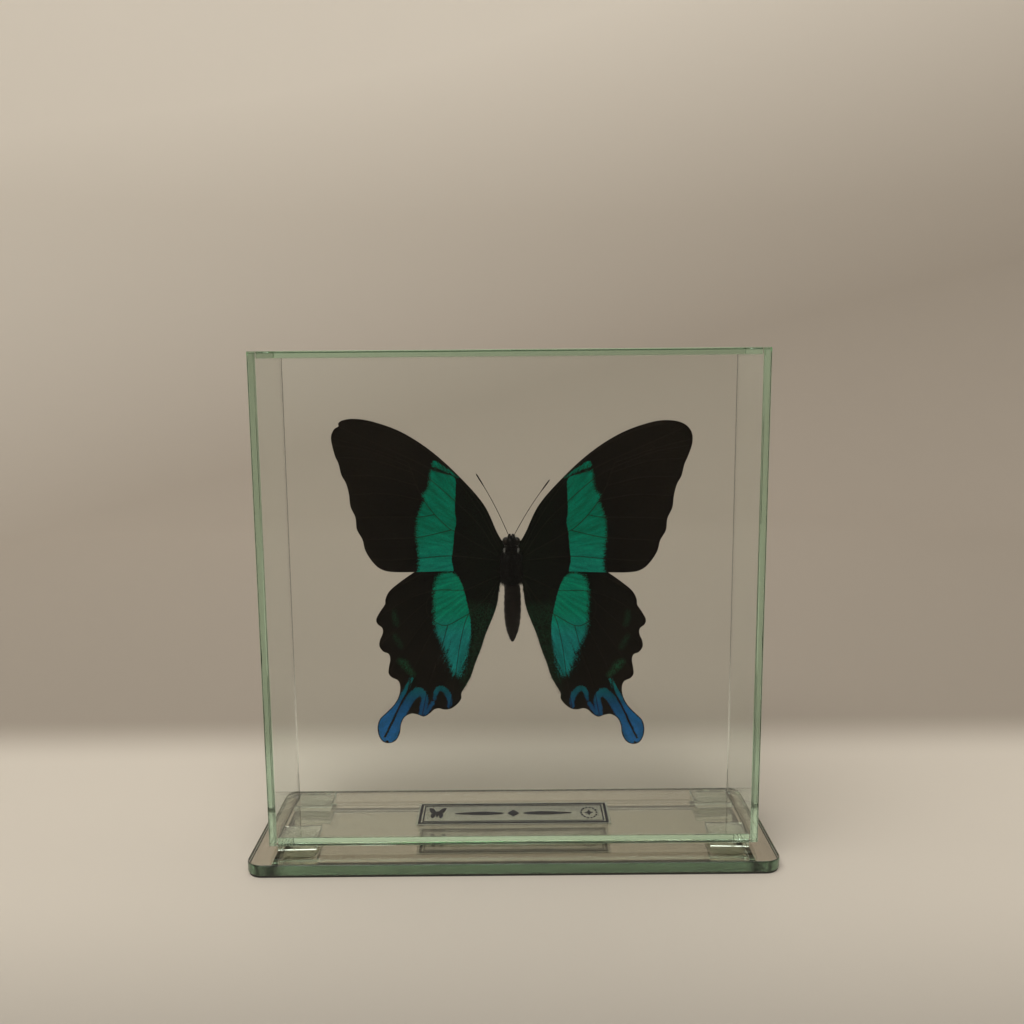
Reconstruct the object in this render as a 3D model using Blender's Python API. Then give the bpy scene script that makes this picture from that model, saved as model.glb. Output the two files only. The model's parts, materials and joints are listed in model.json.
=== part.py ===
"""A swallowtail butterfly, spread and sealed in a square glass case that stands on a mirror plate.

Metres, +Z up, +X to the viewer's right, +Y away from the viewer, who sees the butterfly's back.
The origin is the middle of the mirror plate's underside. Six panes make the sealed case. Four
small glass spacers lift it off the plate. A clear label lies on its floor. A dot of clear glue
holds the butterfly by its breast to the back pane.
"""

from math import cos, pi, radians, sin

import bmesh
import bpy
from mathutils import Matrix, Vector

MM = 0.001

# Case and base
GLUE_LINE = 0.25 * MM  # between any two pieces that touch
GLASS = 2 * MM  # thickness of the case's panes
CASE_WIDTH = 150 * MM
CASE_HEIGHT = 150 * MM
CASE_DEPTH = 38 * MM
BASE_WIDTH = 161.5 * MM
BASE_DEPTH = 54 * MM
BASE_THICKNESS = 4 * MM
BASE_CORNER = 5 * MM  # radius of the plate's upright corners
BASE_ARRIS = 0.5 * MM  # ground edge of the plate
PANE_ARRIS = 0.15 * MM  # cut glass with its sharpness taken off
SPACER_SIDE = 12 * MM
SPACER_THICKNESS = 1.6 * MM
SPACER_INSET = Vector((2.2, 0.5)) * MM  # from the case's sides, and from its front and back
# degrees each spacer sits out of square, as laid by hand
SPACER_TURN = {"front_left": 1.5, "front_right": -2.5, "rear_left": -1.0, "rear_right": 2.0}
LABEL_WIDTH = 62 * MM
LABEL_DEPTH = 15.5 * MM
LABEL_THICKNESS = 0.2 * MM
LABEL_MIDDLE_Y = -2 * MM

CASE_BOTTOM = BASE_THICKNESS + SPACER_THICKNESS + 2 * GLUE_LINE
CASE_TOP = CASE_BOTTOM + CASE_HEIGHT
FLOOR = CASE_BOTTOM + GLASS  # inner face of the bottom pane
BACK_GLASS = CASE_DEPTH / 2 - GLASS  # inner face of the back pane

# Butterfly
WING_LEVEL = 86 * MM  # height of the seam where a forewing's hind edge crosses the hindwing
SPECIMEN_TURN = 0.6  # degrees clockwise that the butterfly hangs out of true in its case
WING_THICKNESS = 0.4 * MM
FOREWING_Y = 10.5 * MM  # middle of its thickness; it lies over the hindwing
HINDWING_Y = 11.2 * MM
SIDES = {"left": -1, "right": 1}
SMOOTHNESS = 3  # steps between two points of a wing outline
BODY_SIDES = 24

THORAX = {"x": 3.2, "y": 3.1, "low": -4.6, "high": 6.6}  # half-widths and ends from WING_LEVEL, mm
THORAX_Y = 11.6 * MM
HEAD = {"x": 2.3, "y": 2.0, "z": 2.1}  # half-widths, mm
HEAD_MIDDLE = Vector((0, 11.2, 95.2)) * MM
EYE_RADIUS = 1.45 * MM
EYE_SPREAD = 1.75 * MM
ABDOMEN_TOP = 81.1 * MM
ABDOMEN_LENGTH = 19.2 * MM
ABDOMEN_Y = 11.6 * MM
# how wide the abdomen is on its way down: (share of its length, radius in mm)
ABDOMEN_PROFILE = [
    (0, 1.9), (0.05, 2.35), (0.2, 2.6), (0.4, 2.7), (0.6, 2.5), (0.75, 2.1), (0.88, 1.4), (0.96, 0.8),
    (1, 0.35),
]
ANTENNA_TIP = {"left": (-11.3, 117.5), "right": (12.2, 115.6)}  # x and z, mm
ANTENNA_RADIUS = 0.16 * MM
CLUB_RADIUS = 0.3 * MM
LEG_RADIUS = 0.3 * MM
LEG_Y = 15.35 * MM
# each pair's knee: (out from the body's axis, below the hip), mm
KNEES = {"front": (5.3, 1.4), "middle": (4.3, -0.4), "hind": (1.9, 1.4)}
GLUE_RADIUS = 1.3 * MM

# Outline of a right forewing: (out from the body's axis, up from WING_LEVEL), mm. From the root
# along the front edge to the tip, down the scalloped outer edge and back along the hind edge.
FOREWING = [
    (3.8, 3.6), (3.7, 8.2), (4.8, 12.8), (9.0, 21.6), (17.2, 31.0), (25.9, 38.8), (35.0, 44.6),
    (44.0, 47.9), (50.0, 48.6), (54.6, 47.6), (57.2, 45.0), (57.6, 41.4), (56.4, 37.4),
    (55.2, 34.4), (54.4, 30.9), (53.0, 28.2), (52.1, 24.6), (51.7, 20.7), (50.2, 17.1),
    (49.8, 13.2), (48.1, 9.9), (47.2, 6.2), (44.9, 2.5), (42.2, 0.2), (38.0, -0.7), (28.0, -0.6),
    (16.0, -0.3), (7.0, -0.1), (4.2, 0.4),
]
# The left wing's tip has lost a chip: these points take the place of the tip's own.
FOREWING_CHIP = [
    (50.0, 48.8), (53.6, 48.3), (55.0, 47.3), (54.9, 46.4), (56.4, 45.4), (57.4, 42.6),
]
CHIP_FROM, CHIP_TO = 8, 12  # the points of FOREWING that they replace

# Outline of a right hindwing, the same way: the hidden front edge, the six toothed lobes, the
# tail, two lobes inside it, and the inner edge along the abdomen.
HINDWING = [
    (3.8, 1.0), (8.0, 3.6), (16.0, 5.4), (24.0, 4.0), (31.0, -0.5), (36.0, -4.0), (39.6, -7.1),
    (41.0, -9.8), (41.2, -11.6), (42.6, -13.7), (44.1, -16.4), (43.8, -18.2), (42.3, -19.5),
    (42.1, -21.3), (43.1, -23.8), (43.2, -25.8), (42.0, -27.5), (40.3, -28.3), (39.8, -30.2),
    (40.3, -33.0), (40.4, -35.0), (39.4, -36.4), (37.4, -37.5), (36.7, -39.6), (37.1, -42.6),
    (38.7, -45.7), (41.4, -48.6), (43.5, -50.7), (44.4, -53.4), (44.1, -56.4), (42.8, -58.6),
    (40.6, -59.2), (38.4, -58.2), (37.0, -55.6), (36.6, -52.7), (35.4, -50.2), (33.2, -48.9),
    (31.2, -49.1), (29.0, -49.8), (27.0, -48.7), (25.6, -47.4), (24.0, -46.9), (22.0, -47.3),
    (20.0, -47.0), (18.2, -45.3), (16.8, -42.6), (15.2, -39.0), (13.2, -35.8), (11.8, -31.5),
    (9.9, -26.5), (8.3, -21.5), (5.5, -14.5), (4.4, -10.4), (3.9, -6.0), (3.6, -2.0),
]


def material(name, colour, roughness=0.5, metallic=0.0, clear=0.0):
    """A Principled material. colour is linear red, green and blue."""
    made = bpy.data.materials.new(name)
    made.use_nodes = True
    surface = made.node_tree.nodes["Principled BSDF"]
    surface.inputs["Base Color"].default_value = (*colour, 1)
    surface.inputs["Roughness"].default_value = roughness
    surface.inputs["Metallic"].default_value = metallic
    surface.inputs["Transmission Weight"].default_value = clear
    made.diffuse_color = (*colour, 1)
    return made


def add_object(name, data, finish):
    """Links a mesh or a curve to the scene as one named piece."""
    piece = bpy.data.objects.new(name, data)
    data.materials.append(finish)
    bpy.context.scene.collection.objects.link(piece)
    return piece


def mesh_from(name, shape):
    """A smooth mesh from a bmesh, with the edges over 30 degrees kept sharp."""
    bmesh.ops.recalc_face_normals(shape, faces=shape.faces)
    mesh = bpy.data.meshes.new(name)
    shape.to_mesh(mesh)
    shape.free()
    mesh.shade_smooth()
    mesh.set_sharp_from_angle(angle=radians(30))
    return mesh


def block(name, low, high, arris, finish):
    """A flat-sided piece between two corners, its edges taken off by arris."""
    low, high = Vector(low), Vector(high)
    shape = bmesh.new()
    bmesh.ops.create_cube(shape, size=1, matrix=Matrix.Diagonal((*(high - low), 1)))
    bmesh.ops.bevel(
        shape, geom=shape.edges[:], offset=arris, segments=1, profile=0.5, affect="EDGES"
    )
    piece = add_object(name, mesh_from(name, shape), finish)
    piece.location = (low + high) / 2
    return piece


def mirror_base(finish):
    """The plate that everything stands on, with rounded corners and ground edges."""
    shape = bmesh.new()
    size = Matrix.Diagonal((BASE_WIDTH, BASE_DEPTH, BASE_THICKNESS, 1))
    bmesh.ops.create_cube(shape, size=1, matrix=Matrix.Translation((0, 0, BASE_THICKNESS / 2)) @ size)
    upright = [e for e in shape.edges if abs(e.verts[0].co.z - e.verts[1].co.z) > BASE_THICKNESS / 2]
    bmesh.ops.bevel(
        shape, geom=upright, offset=BASE_CORNER, segments=8, profile=0.5, affect="EDGES"
    )
    level = [e for e in shape.edges if abs(e.verts[0].co.z - e.verts[1].co.z) < BASE_ARRIS]
    bmesh.ops.bevel(shape, geom=level, offset=BASE_ARRIS, segments=2, profile=0.5, affect="EDGES")
    return add_object("mirror_base", mesh_from("mirror_base", shape), finish)


def spacers(finish):
    """Four squares of glass between the plate and the case, one near each corner."""
    half = Vector((SPACER_SIDE, SPACER_SIDE, SPACER_THICKNESS)) / 2
    for end, back in (("front", -1), ("rear", 1)):
        for side, out in SIDES.items():
            middle = Vector(
                (
                    out * (CASE_WIDTH / 2 - SPACER_INSET.x - half.x),
                    back * (CASE_DEPTH / 2 - SPACER_INSET.y - half.y),
                    BASE_THICKNESS + GLUE_LINE + half.z,
                )
            )
            piece = block(f"spacer_{end}_{side}", middle - half, middle + half, PANE_ARRIS, finish)
            piece.rotation_euler.z = radians(SPACER_TURN[f"{end}_{side}"])


def case(finish):
    """Whole front and back panes, with four strips of the same glass between them."""
    half, depth = CASE_WIDTH / 2, CASE_DEPTH / 2
    strip = BACK_GLASS - GLUE_LINE  # half the width of the strips
    shelf = half - GLASS - GLUE_LINE  # half the length of the top and bottom strips
    panes = {
        "pane_front": ((-half, -depth, CASE_BOTTOM), (half, -depth + GLASS, CASE_TOP)),
        "pane_back": ((-half, depth - GLASS, CASE_BOTTOM), (half, depth, CASE_TOP)),
        "pane_left": ((-half, -strip, CASE_BOTTOM), (-half + GLASS, strip, CASE_TOP)),
        "pane_right": ((half - GLASS, -strip, CASE_BOTTOM), (half, strip, CASE_TOP)),
        "pane_bottom": ((-shelf, -strip, CASE_BOTTOM), (shelf, strip, FLOOR)),
        "pane_top": ((-shelf, -strip, CASE_TOP - GLASS), (shelf, strip, CASE_TOP)),
    }
    for name, (low, high) in panes.items():
        block(name, low, high, PANE_ARRIS, finish)


def label(finish):
    """A strip of printed clear film that lies on the case's floor."""
    low = FLOOR + GLUE_LINE
    block(
        "label",
        (-LABEL_WIDTH / 2, LABEL_MIDDLE_Y - LABEL_DEPTH / 2, low),
        (LABEL_WIDTH / 2, LABEL_MIDDLE_Y + LABEL_DEPTH / 2, low + LABEL_THICKNESS),
        LABEL_THICKNESS / 4,
        finish,
    )


def between(before, start, end, after, t):
    """A point from start to end, at t from 0 to 1, on a Catmull-Rom curve through all four."""
    rise_in, rise_out = (end - before) / 2, (after - start) / 2
    return (
        (2 * t**3 - 3 * t**2 + 1) * start
        + (t**3 - 2 * t**2 + t) * rise_in
        + (3 * t**2 - 2 * t**3) * end
        + (t**3 - t**2) * rise_out
    )


def closed_line(points):
    """A smooth closed line through points, with SMOOTHNESS steps from each to the next."""
    count = len(points)
    line = []
    for i in range(count):
        nearest = [Vector(points[(i + k) % count]) for k in (-1, 0, 1, 2)]
        line += [between(*nearest, step / SMOOTHNESS) for step in range(SMOOTHNESS)]
    return line


def wing(name, outline, side, middle_y, finish):
    """A thin flat wing on one side, pulled out of its outline."""
    shape = bmesh.new()
    front = middle_y - WING_THICKNESS / 2
    corners = []
    for out, up in closed_line(outline):
        corners.append(shape.verts.new((SIDES[side] * out * MM, front, WING_LEVEL + up * MM)))
    face = shape.faces.new(corners)
    pulled = bmesh.ops.extrude_face_region(shape, geom=[face])["geom"]
    moved = [v for v in pulled if isinstance(v, bmesh.types.BMVert)]
    bmesh.ops.translate(shape, verts=moved, vec=(0, WING_THICKNESS, 0))
    return add_object(name, mesh_from(name, shape), finish)


def wings(finish):
    """Two forewings over two hindwings; the left forewing's tip is chipped."""
    for side in SIDES:
        outline = list(FOREWING)
        if side == "left":
            outline[CHIP_FROM:CHIP_TO] = FOREWING_CHIP
        wing(f"forewing_{side}", outline, side, FOREWING_Y, finish)
        wing(f"hindwing_{side}", HINDWING, side, HINDWING_Y, finish)


def turned(shape, rings, middle_y, flatness=1.0):
    """A closed round body along Z from rings of (height, radius); flatness scales its depth."""
    loops = []
    for height, radius in rings:
        loop = []
        for k in range(BODY_SIDES):
            angle = 2 * pi * k / BODY_SIDES
            place = (radius * cos(angle), middle_y + flatness * radius * sin(angle), height)
            loop.append(shape.verts.new(place))
        loops.append(loop)
    for upper, lower in zip(loops, loops[1:]):
        for k in range(BODY_SIDES):
            after = (k + 1) % BODY_SIDES
            shape.faces.new((upper[k], upper[after], lower[after], lower[k]))
    shape.faces.new(loops[0])
    shape.faces.new(loops[-1])


def abdomen(finish):
    """A spindle that is narrow at the waist and runs out to a blunt point."""
    profile = [Vector(point) for point in ABDOMEN_PROFILE]
    profile = [profile[0], *profile, profile[-1]]
    steps = 4
    line = []
    for nearest in zip(profile, profile[1:], profile[2:], profile[3:]):
        line += [between(*nearest, step / steps) for step in range(steps)]
    line.append(profile[-1])
    rings = [(ABDOMEN_TOP - share * ABDOMEN_LENGTH, radius * MM) for share, radius in line]
    shape = bmesh.new()
    turned(shape, rings, ABDOMEN_Y)
    return add_object("abdomen", mesh_from("abdomen", shape), finish)


def thorax(finish):
    """An egg shape with flat ends where the head and the abdomen join it."""
    steps = 16
    low, high = WING_LEVEL + THORAX["low"] * MM, WING_LEVEL + THORAX["high"] * MM
    rings = []
    for step in range(steps + 1):
        share = step / steps
        around = radians(30 + 120 * share)  # the ends are cut off where the curve is half as wide
        rings.append((high - (high - low) * share, THORAX["x"] * MM * sin(around)))
    shape = bmesh.new()
    turned(shape, rings, THORAX_Y, THORAX["y"] / THORAX["x"])
    return add_object("thorax", mesh_from("thorax", shape), finish)


def ball(name, middle, radii, finish):
    """A round body with its own half-widths along X, Y and Z."""
    shape = bmesh.new()
    place = Matrix.Translation(middle) @ Matrix.Diagonal((*radii, 1))
    bmesh.ops.create_uvsphere(shape, u_segments=20, v_segments=12, radius=1, matrix=place)
    return add_object(name, mesh_from(name, shape), finish)


def head(finish):
    """A short head with the two large eyes grown into its sides."""
    made = ball("head", HEAD_MIDDLE, [HEAD[axis] * MM for axis in "xyz"], finish)
    for side, out in SIDES.items():
        middle = HEAD_MIDDLE + Vector((out * EYE_SPREAD, 0, 0))
        eye = ball(f"eye_{side}_shape", middle, [EYE_RADIUS] * 3, finish)
        eye.hide_render = True
        eye.display_type = "WIRE"
        union = made.modifiers.new(f"{side} eye", "BOOLEAN")
        union.operation = "UNION"
        union.object = eye
    return made


def tube(name, points, radius, finish):
    """A thin round tube through points of (x, y, z, share of radius)."""
    line = bpy.data.curves.new(name, "CURVE")
    line.dimensions = "3D"
    line.bevel_depth = radius
    line.bevel_resolution = 1
    line.use_fill_caps = True
    run = line.splines.new("POLY")
    run.points.add(len(points) - 1)
    for point, (x, y, z, share) in zip(run.points, points):
        point.co = (x, y, z, 1)
        point.radius = share
    return add_object(name, line, finish)


def antennae(finish):
    """Two feelers, thin as thread, that curve outwards and end in a slim club."""
    steps = 14
    for side, out in SIDES.items():
        start = HEAD_MIDDLE + Vector((out * 0.9, -0.9, 2.3)) * MM
        tip_x, tip_z = ANTENNA_TIP[side]
        end = Vector((tip_x, 9.6, tip_z)) * MM
        bow = Vector((-out * 0.5, -0.5, 0.2)) * MM
        points = []
        for step in range(steps + 1):
            share = step / steps
            place = start.lerp(end, share) + bow * sin(pi * share)
            swelling = max(0, sin(pi * min(1, (share - 0.78) / 0.3))) if share > 0.78 else 0
            points.append((*place, 1 + (CLUB_RADIUS / ANTENNA_RADIUS - 1) * swelling))
        tube(f"antenna_{side}", points, ANTENNA_RADIUS, finish)


def legs(finish):
    """Six legs folded back: two pairs side by side under the wings, the hind pair under the abdomen."""
    for pair, (pair_name, (knee_x, drop)) in enumerate(KNEES.items()):
        hip_z = 90.6 - 3 * pair
        knee_z = hip_z - drop
        for side, out in SIDES.items():
            # across, away from the breast, up; then how thick, as a share of the thigh
            run = [
                (2.0, 0.0, hip_z, 1.0),
                (knee_x - 0.3, 0.0, knee_z, 1.0),
                (knee_x, 0.0, knee_z - 0.6, 0.8),
                (knee_x + 0.1, 0.0, knee_z - 6.0, 0.7),
                (knee_x - 0.1, 0.0, knee_z - 6.4, 0.5),
                (knee_x - 0.4, 0.0, knee_z - 10.0, 0.4),
            ]
            points = [(out * x * MM, LEG_Y + y * MM, z * MM, share) for x, y, z, share in run]
            tube(f"leg_{pair_name}_{side}", points, LEG_RADIUS, finish)


def glue_dot(finish):
    """A drop of clear glue from the breast to the back pane, wider where it meets the glass."""
    steps = 6
    near = THORAX_Y + THORAX["y"] * MM + GLUE_LINE
    far = BACK_GLASS - GLUE_LINE
    shape = bmesh.new()
    rings = []
    for step in range(steps + 1):
        share = step / steps
        rings.append((share, GLUE_RADIUS * (1 - 0.3 * sin(pi * share / 2) ** 0.5)))
    turned(shape, rings, 0)
    for vertex in shape.verts:
        across, up, share = vertex.co
        vertex.co = (across, far - share * (far - near), WING_LEVEL + 1 * MM + up)
    return add_object("glue_dot", mesh_from("glue_dot", shape), finish)


def hang(pieces):
    """Turns the butterfly's pieces as one, about the point of its breast that is glued."""
    place = bpy.data.objects.new("specimen_place", None)
    place.location.z = WING_LEVEL
    bpy.context.scene.collection.objects.link(place)
    bpy.context.view_layer.update()
    for piece in pieces:
        piece.parent = place
        piece.matrix_parent_inverse = place.matrix_world.inverted()
    place.rotation_euler.y = radians(SPECIMEN_TURN)


def main():
    for old in list(bpy.data.objects):
        bpy.data.objects.remove(old, do_unlink=True)
    clear_glass = material("clear glass", (0.80, 0.90, 0.84), 0.02, 0.0, 0.9)
    chitin = material("black chitin", (0.012, 0.010, 0.009), 0.6)
    scales = material("wing scales", (0.014, 0.012, 0.010), 0.55)
    mirror_base(material("green-edged mirror", (0.55, 0.60, 0.56), 0.05, 0.8))
    spacers(clear_glass)
    case(clear_glass)
    label(material("printed film", (0.55, 0.58, 0.60), 0.3))
    glue_dot(material("clear glue", (0.85, 0.84, 0.78), 0.15, 0.0, 0.8))
    holder = set(bpy.data.objects)
    wings(scales)
    head(chitin)
    thorax(chitin)
    abdomen(chitin)
    antennae(chitin)
    legs(chitin)
    hang([piece for piece in bpy.data.objects if piece not in holder])


main()
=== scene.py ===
"""The looks of a swallowtail butterfly sealed in a square glass case on a mirror plate.

Metres, +Z up, +X to the viewer's right, +Y away from the viewer, who sees the butterfly's back.
The panes, the spacers, the label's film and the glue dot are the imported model's own nodes with a
real finish. The mirror plate, the butterfly, the print and the glue films are modelled here.
"""

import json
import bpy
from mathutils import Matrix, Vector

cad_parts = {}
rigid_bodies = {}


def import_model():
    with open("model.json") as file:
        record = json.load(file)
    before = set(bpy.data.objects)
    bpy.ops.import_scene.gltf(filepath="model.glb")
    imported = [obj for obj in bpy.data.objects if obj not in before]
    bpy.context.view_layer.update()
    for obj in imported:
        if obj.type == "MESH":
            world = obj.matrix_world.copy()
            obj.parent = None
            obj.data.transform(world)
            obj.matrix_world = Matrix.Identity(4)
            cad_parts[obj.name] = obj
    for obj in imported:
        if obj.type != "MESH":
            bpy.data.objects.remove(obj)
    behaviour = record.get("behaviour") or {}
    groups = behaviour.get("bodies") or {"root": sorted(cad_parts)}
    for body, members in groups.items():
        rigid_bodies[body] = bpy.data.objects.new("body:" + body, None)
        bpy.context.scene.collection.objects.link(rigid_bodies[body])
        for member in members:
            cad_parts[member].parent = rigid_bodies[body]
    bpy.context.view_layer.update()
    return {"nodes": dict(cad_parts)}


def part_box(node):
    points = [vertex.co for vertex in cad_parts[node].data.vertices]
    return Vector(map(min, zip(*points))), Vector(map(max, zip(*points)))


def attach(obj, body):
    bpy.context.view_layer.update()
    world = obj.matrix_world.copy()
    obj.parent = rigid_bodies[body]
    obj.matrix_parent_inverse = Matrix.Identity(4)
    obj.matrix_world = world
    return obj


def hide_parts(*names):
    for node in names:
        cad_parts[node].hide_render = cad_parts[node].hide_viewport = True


bl_info = {
    "name": "Butterfly in a Glass Case",
    "version": (1, 0, 0),
    "blender": (4, 5, 0),
    "location": "3D View > Sidebar > Specimen",
    "description": "Models a spread swallowtail in its glass case and lights it",
    "category": "Add Mesh",
}

from math import cos, pi, radians, sin

import bpy
import numpy as np
from mathutils import Matrix, Vector

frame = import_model()

MM = 0.001
SIDES = {"left": -1, "right": 1}

# ---------------------------------------------------------------- the butterfly's own sizes, mm
WING_LEVEL = 86.0  # height of the seam where a forewing's hind edge crosses the hindwing
SPECIMEN_TURN = radians(0.6)  # clockwise, about the glued point of the breast
FOREWING_Y = 10.5
HINDWING_Y = 11.2
WING_CELL = 0.27  # side of one face of a wing's mesh
WING_ROOTS = {"forewing": (2.0, 5.0), "hindwing": (2.0, 1.0)}  # where the veins fan out from
MEMBRANE = 0.12  # a real wing is thinner still
ABDOMEN_TOP = 81.1
ABDOMEN_LENGTH = 19.2
ABDOMEN_Y = 11.6
ABDOMEN_ASIDE = 0.45  # it hangs a little to the right of the thorax
# Half-widths of the abdomen, each at its share of the length
ABDOMEN_PROFILE = [
    (0, 1.9), (0.05, 2.35), (0.2, 2.6), (0.4, 2.7), (0.6, 2.5), (0.75, 2.1), (0.88, 1.4), (0.96, 0.8),
    (1, 0.35),
]
# The thorax and the head are swellings melted together: (x, y, z, and three half-widths).
THORAX_SWELLINGS = [
    (0, 11.6, 87.0, 3.0, 2.8, 5.0), (-1.2, 10.3, 88.2, 1.8, 1.6, 3.3), (1.2, 10.3, 88.2, 1.8, 1.6, 3.3),
    (0, 10.2, 84.2, 1.5, 1.2, 1.6), (-2.6, 10.3, 90.2, 0.8, 0.8, 1.9), (2.6, 10.3, 90.2, 0.8, 0.8, 1.9),
    (0, 11.0, 92.2, 2.2, 1.8, 1.0), (0, 12.9, 88.0, 2.4, 1.6, 4.2), (0, 11.6, 82.4, 1.9, 1.7, 1.6),
    (-2.7, 11.0, 87.0, 0.9, 1.2, 4.4), (2.7, 11.0, 87.0, 0.9, 1.2, 4.4),
    (-1.9, 11.2, 83.6, 1.5, 1.4, 2.0), (1.9, 11.2, 83.6, 1.5, 1.4, 2.0),
    (-1.7, 10.9, 92.6, 1.3, 1.0, 1.3), (1.7, 10.9, 92.6, 1.3, 1.0, 1.3),
]
HEAD_SWELLINGS = [
    (0, 11.2, 95.2, 1.75, 1.8, 1.8), (0, 11.2, 96.5, 1.2, 1.1, 0.75), (0, 11.4, 93.5, 1.3, 1.3, 0.8),
    (-0.9, 10.4, 96.7, 0.4, 0.4, 0.5), (0.9, 10.4, 96.7, 0.4, 0.4, 0.5),
]
WAIST = 83.6  # height below which longer hair hangs over the abdomen
FEELER_ROOT = (0.9, 10.3, 97.5)  # out, Y and Z
FEELER_TIPS = {"left": (-11.3, 9.6, 117.5), "right": (12.2, 9.6, 115.6)}  # they dried unevenly
LEG_Y = 15.35
HIP_TOP = 90.6  # the front pair's; each pair behind it sits HIP_STEP lower
HIP_STEP = 3
KNEES = {"front": (5.3, 1.4), "middle": (4.3, -0.4), "hind": (1.9, 1.4)}  # out, and below the hip

# Outlines of right wings: (out from the body's axis, up from WING_LEVEL).
FOREWING = [
    (2.2, 3.6), (2.3, 8.4), (3.4, 10.2), (4.8, 12.8), (9.0, 21.6), (17.2, 31.0), (25.9, 38.8),
    (35.0, 44.6), (44.0, 47.9), (50.0, 48.6), (54.6, 47.6), (57.2, 45.0), (57.6, 41.4), (56.4, 37.4),
    (55.2, 34.4), (54.4, 30.9), (53.0, 28.2), (52.1, 24.6), (51.7, 20.7), (50.2, 17.1),
    (49.8, 13.2), (48.1, 9.9), (47.2, 6.2), (44.9, 2.5), (42.2, 0.2), (38.0, -0.7), (28.0, -0.6),
    (16.0, -0.3), (7.0, -0.1), (3.0, 0.4),
]
# The left wing's tip has lost a chip: these points take the place of the tip's own.
FOREWING_CHIP = [
    (50.0, 48.8), (53.6, 48.3), (55.0, 47.3), (54.9, 46.4), (56.4, 45.4), (57.4, 42.6),
]
CHIP_FROM, CHIP_TO = 9, 13
HINDWING = [
    (2.2, 1.4), (8.0, 3.6), (16.0, 5.4), (24.0, 4.0), (31.0, -0.5), (36.0, -4.0), (39.6, -7.1),
    (41.0, -9.8), (41.2, -11.6), (42.6, -13.7), (44.1, -16.4), (43.8, -18.2), (42.3, -19.5),
    (42.1, -21.3), (43.1, -23.8), (43.2, -25.8), (42.0, -27.5), (40.3, -28.3), (39.8, -30.2),
    (40.3, -33.0), (40.4, -35.0), (39.4, -36.4), (37.4, -37.5), (36.7, -39.6), (37.1, -42.6),
    (38.7, -45.7), (41.4, -48.6), (43.5, -50.7), (44.4, -53.4), (44.1, -56.4), (42.8, -58.6),
    (40.6, -59.2), (38.4, -58.2), (37.0, -55.6), (36.6, -52.7), (35.4, -50.2), (33.2, -48.9),
    (31.2, -49.1), (29.0, -49.8), (27.0, -48.7), (25.6, -47.4), (24.0, -46.9), (22.0, -47.3),
    (20.0, -47.0), (18.0, -45.6), (16.5, -43.6), (16.4, -41.6), (15.0, -39.2), (13.2, -35.8),
    (11.8, -31.5), (9.9, -26.5), (8.3, -21.5), (5.5, -14.5), (4.4, -10.4), (3.9, -6.0), (3.1, -3.2),
    (2.2, -1.2),
]

# Markings and veins, in the same two measures. The green band of each wing is a closed outline.
FOREWING_BAND = [
    (18.1, 29.9), (18.0, 24.5), (18.2, 19.7), (17.8, 15.7), (18.4, 12.5), (18.8, 8.0), (19.3, 3.4),
    (19.5, -1.8), (29.3, -1.8), (29.9, 3.6), (30.2, 8.0), (30.6, 10.8), (30.5, 14.0), (30.2, 16.8),
    (29.4, 19.8), (28.1, 22.6), (28.4, 24.3), (26.9, 26.4), (26.2, 29.2), (25.9, 31.8), (24.9, 32.4),
    (21.6, 31.3),
]
# the thin streak between two veins that carries the band's green on to the front edge
FOREWING_STREAK = [(17.0, 30.1, 0.15), (20.9, 32.6, 0.5), (24.6, 34.4, 0.9)]
HINDWING_BAND = [
    (20.8, -1.0), (18.2, -1.6), (16.4, -4.2), (15.3, -7.4), (14.6, -10.3), (13.7, -14.8),
    (13.2, -18.4), (13.4, -22.5), (14.2, -26.7), (15.6, -31.6), (17.0, -35.4), (18.7, -34.9),
    (20.2, -31.6), (21.6, -27.6), (23.0, -24.2), (24.4, -20.9), (25.0, -18.0), (25.0, -14.4),
    (25.2, -9.0), (24.8, -4.8), (23.4, -2.1),
]
# Bright strokes of the tail and the lobes beside it: (out, up, half its width) along each.
TAIL_STROKES = [
    [
        (32.9, -36.9, 0.5), (34.3, -39.9, 0.8), (36.6, -44.2, 0.95), (39.9, -49.0, 1.6), (42.5, -53.0, 2.2),
        (42.9, -56.8, 2.0),
    ],
    [(30.9, -41.1, 1.3), (33.2, -43.6, 1.5), (35.6, -47.6, 1.45), (38.2, -52.0, 1.8), (39.7, -56.8, 2.2)],
    [(30.1, -41.1, 1.2), (28.6, -43.4, 1.1), (29.2, -47.0, 1.2), (29.9, -49.2, 0.7)],
    [(28.4, -49.2, 0.45), (27.1, -47.0, 0.6), (25.9, -45.0, 0.5)],
    [
        (25.4, -43.8, 0.5), (24.4, -40.7, 0.8), (22.8, -40.1, 0.9), (21.0, -41.8, 0.95), (20.2, -44.6, 0.75),
        (20.6, -46.3, 0.5),
    ],
]
# Dull green crescents near the hindwing's edge, and a violet one by the inner edge: then how strong
CRESCENTS = [
    ([(38.2, -14.0, 0.3), (38.1, -16.0, 0.5), (37.6, -18.1, 0.5)], 0.5),
    ([(38.2, -22.2, 0.4), (37.3, -23.8, 0.6), (36.2, -25.9, 0.4)], 0.45),
    ([(36.6, -30.8, 0.5), (35.2, -31.9, 1.0), (33.9, -33.7, 0.7), (32.4, -35.4, 0.35)], 1.0),
    ([(14.1, -34.9, 0.3), (15.5, -36.6, 0.5), (16.3, -37.8, 0.3)], 0.4),
]
TAIL_VEIN = [
    (33.0, -35.2, 0.1), (33.4, -38.7, 0.2), (34.4, -41.6, 0.3), (36.7, -45.8, 0.3), (39.5, -51.8, 0.38),
    (42.0, -57.0, 0.3),
]
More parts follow.
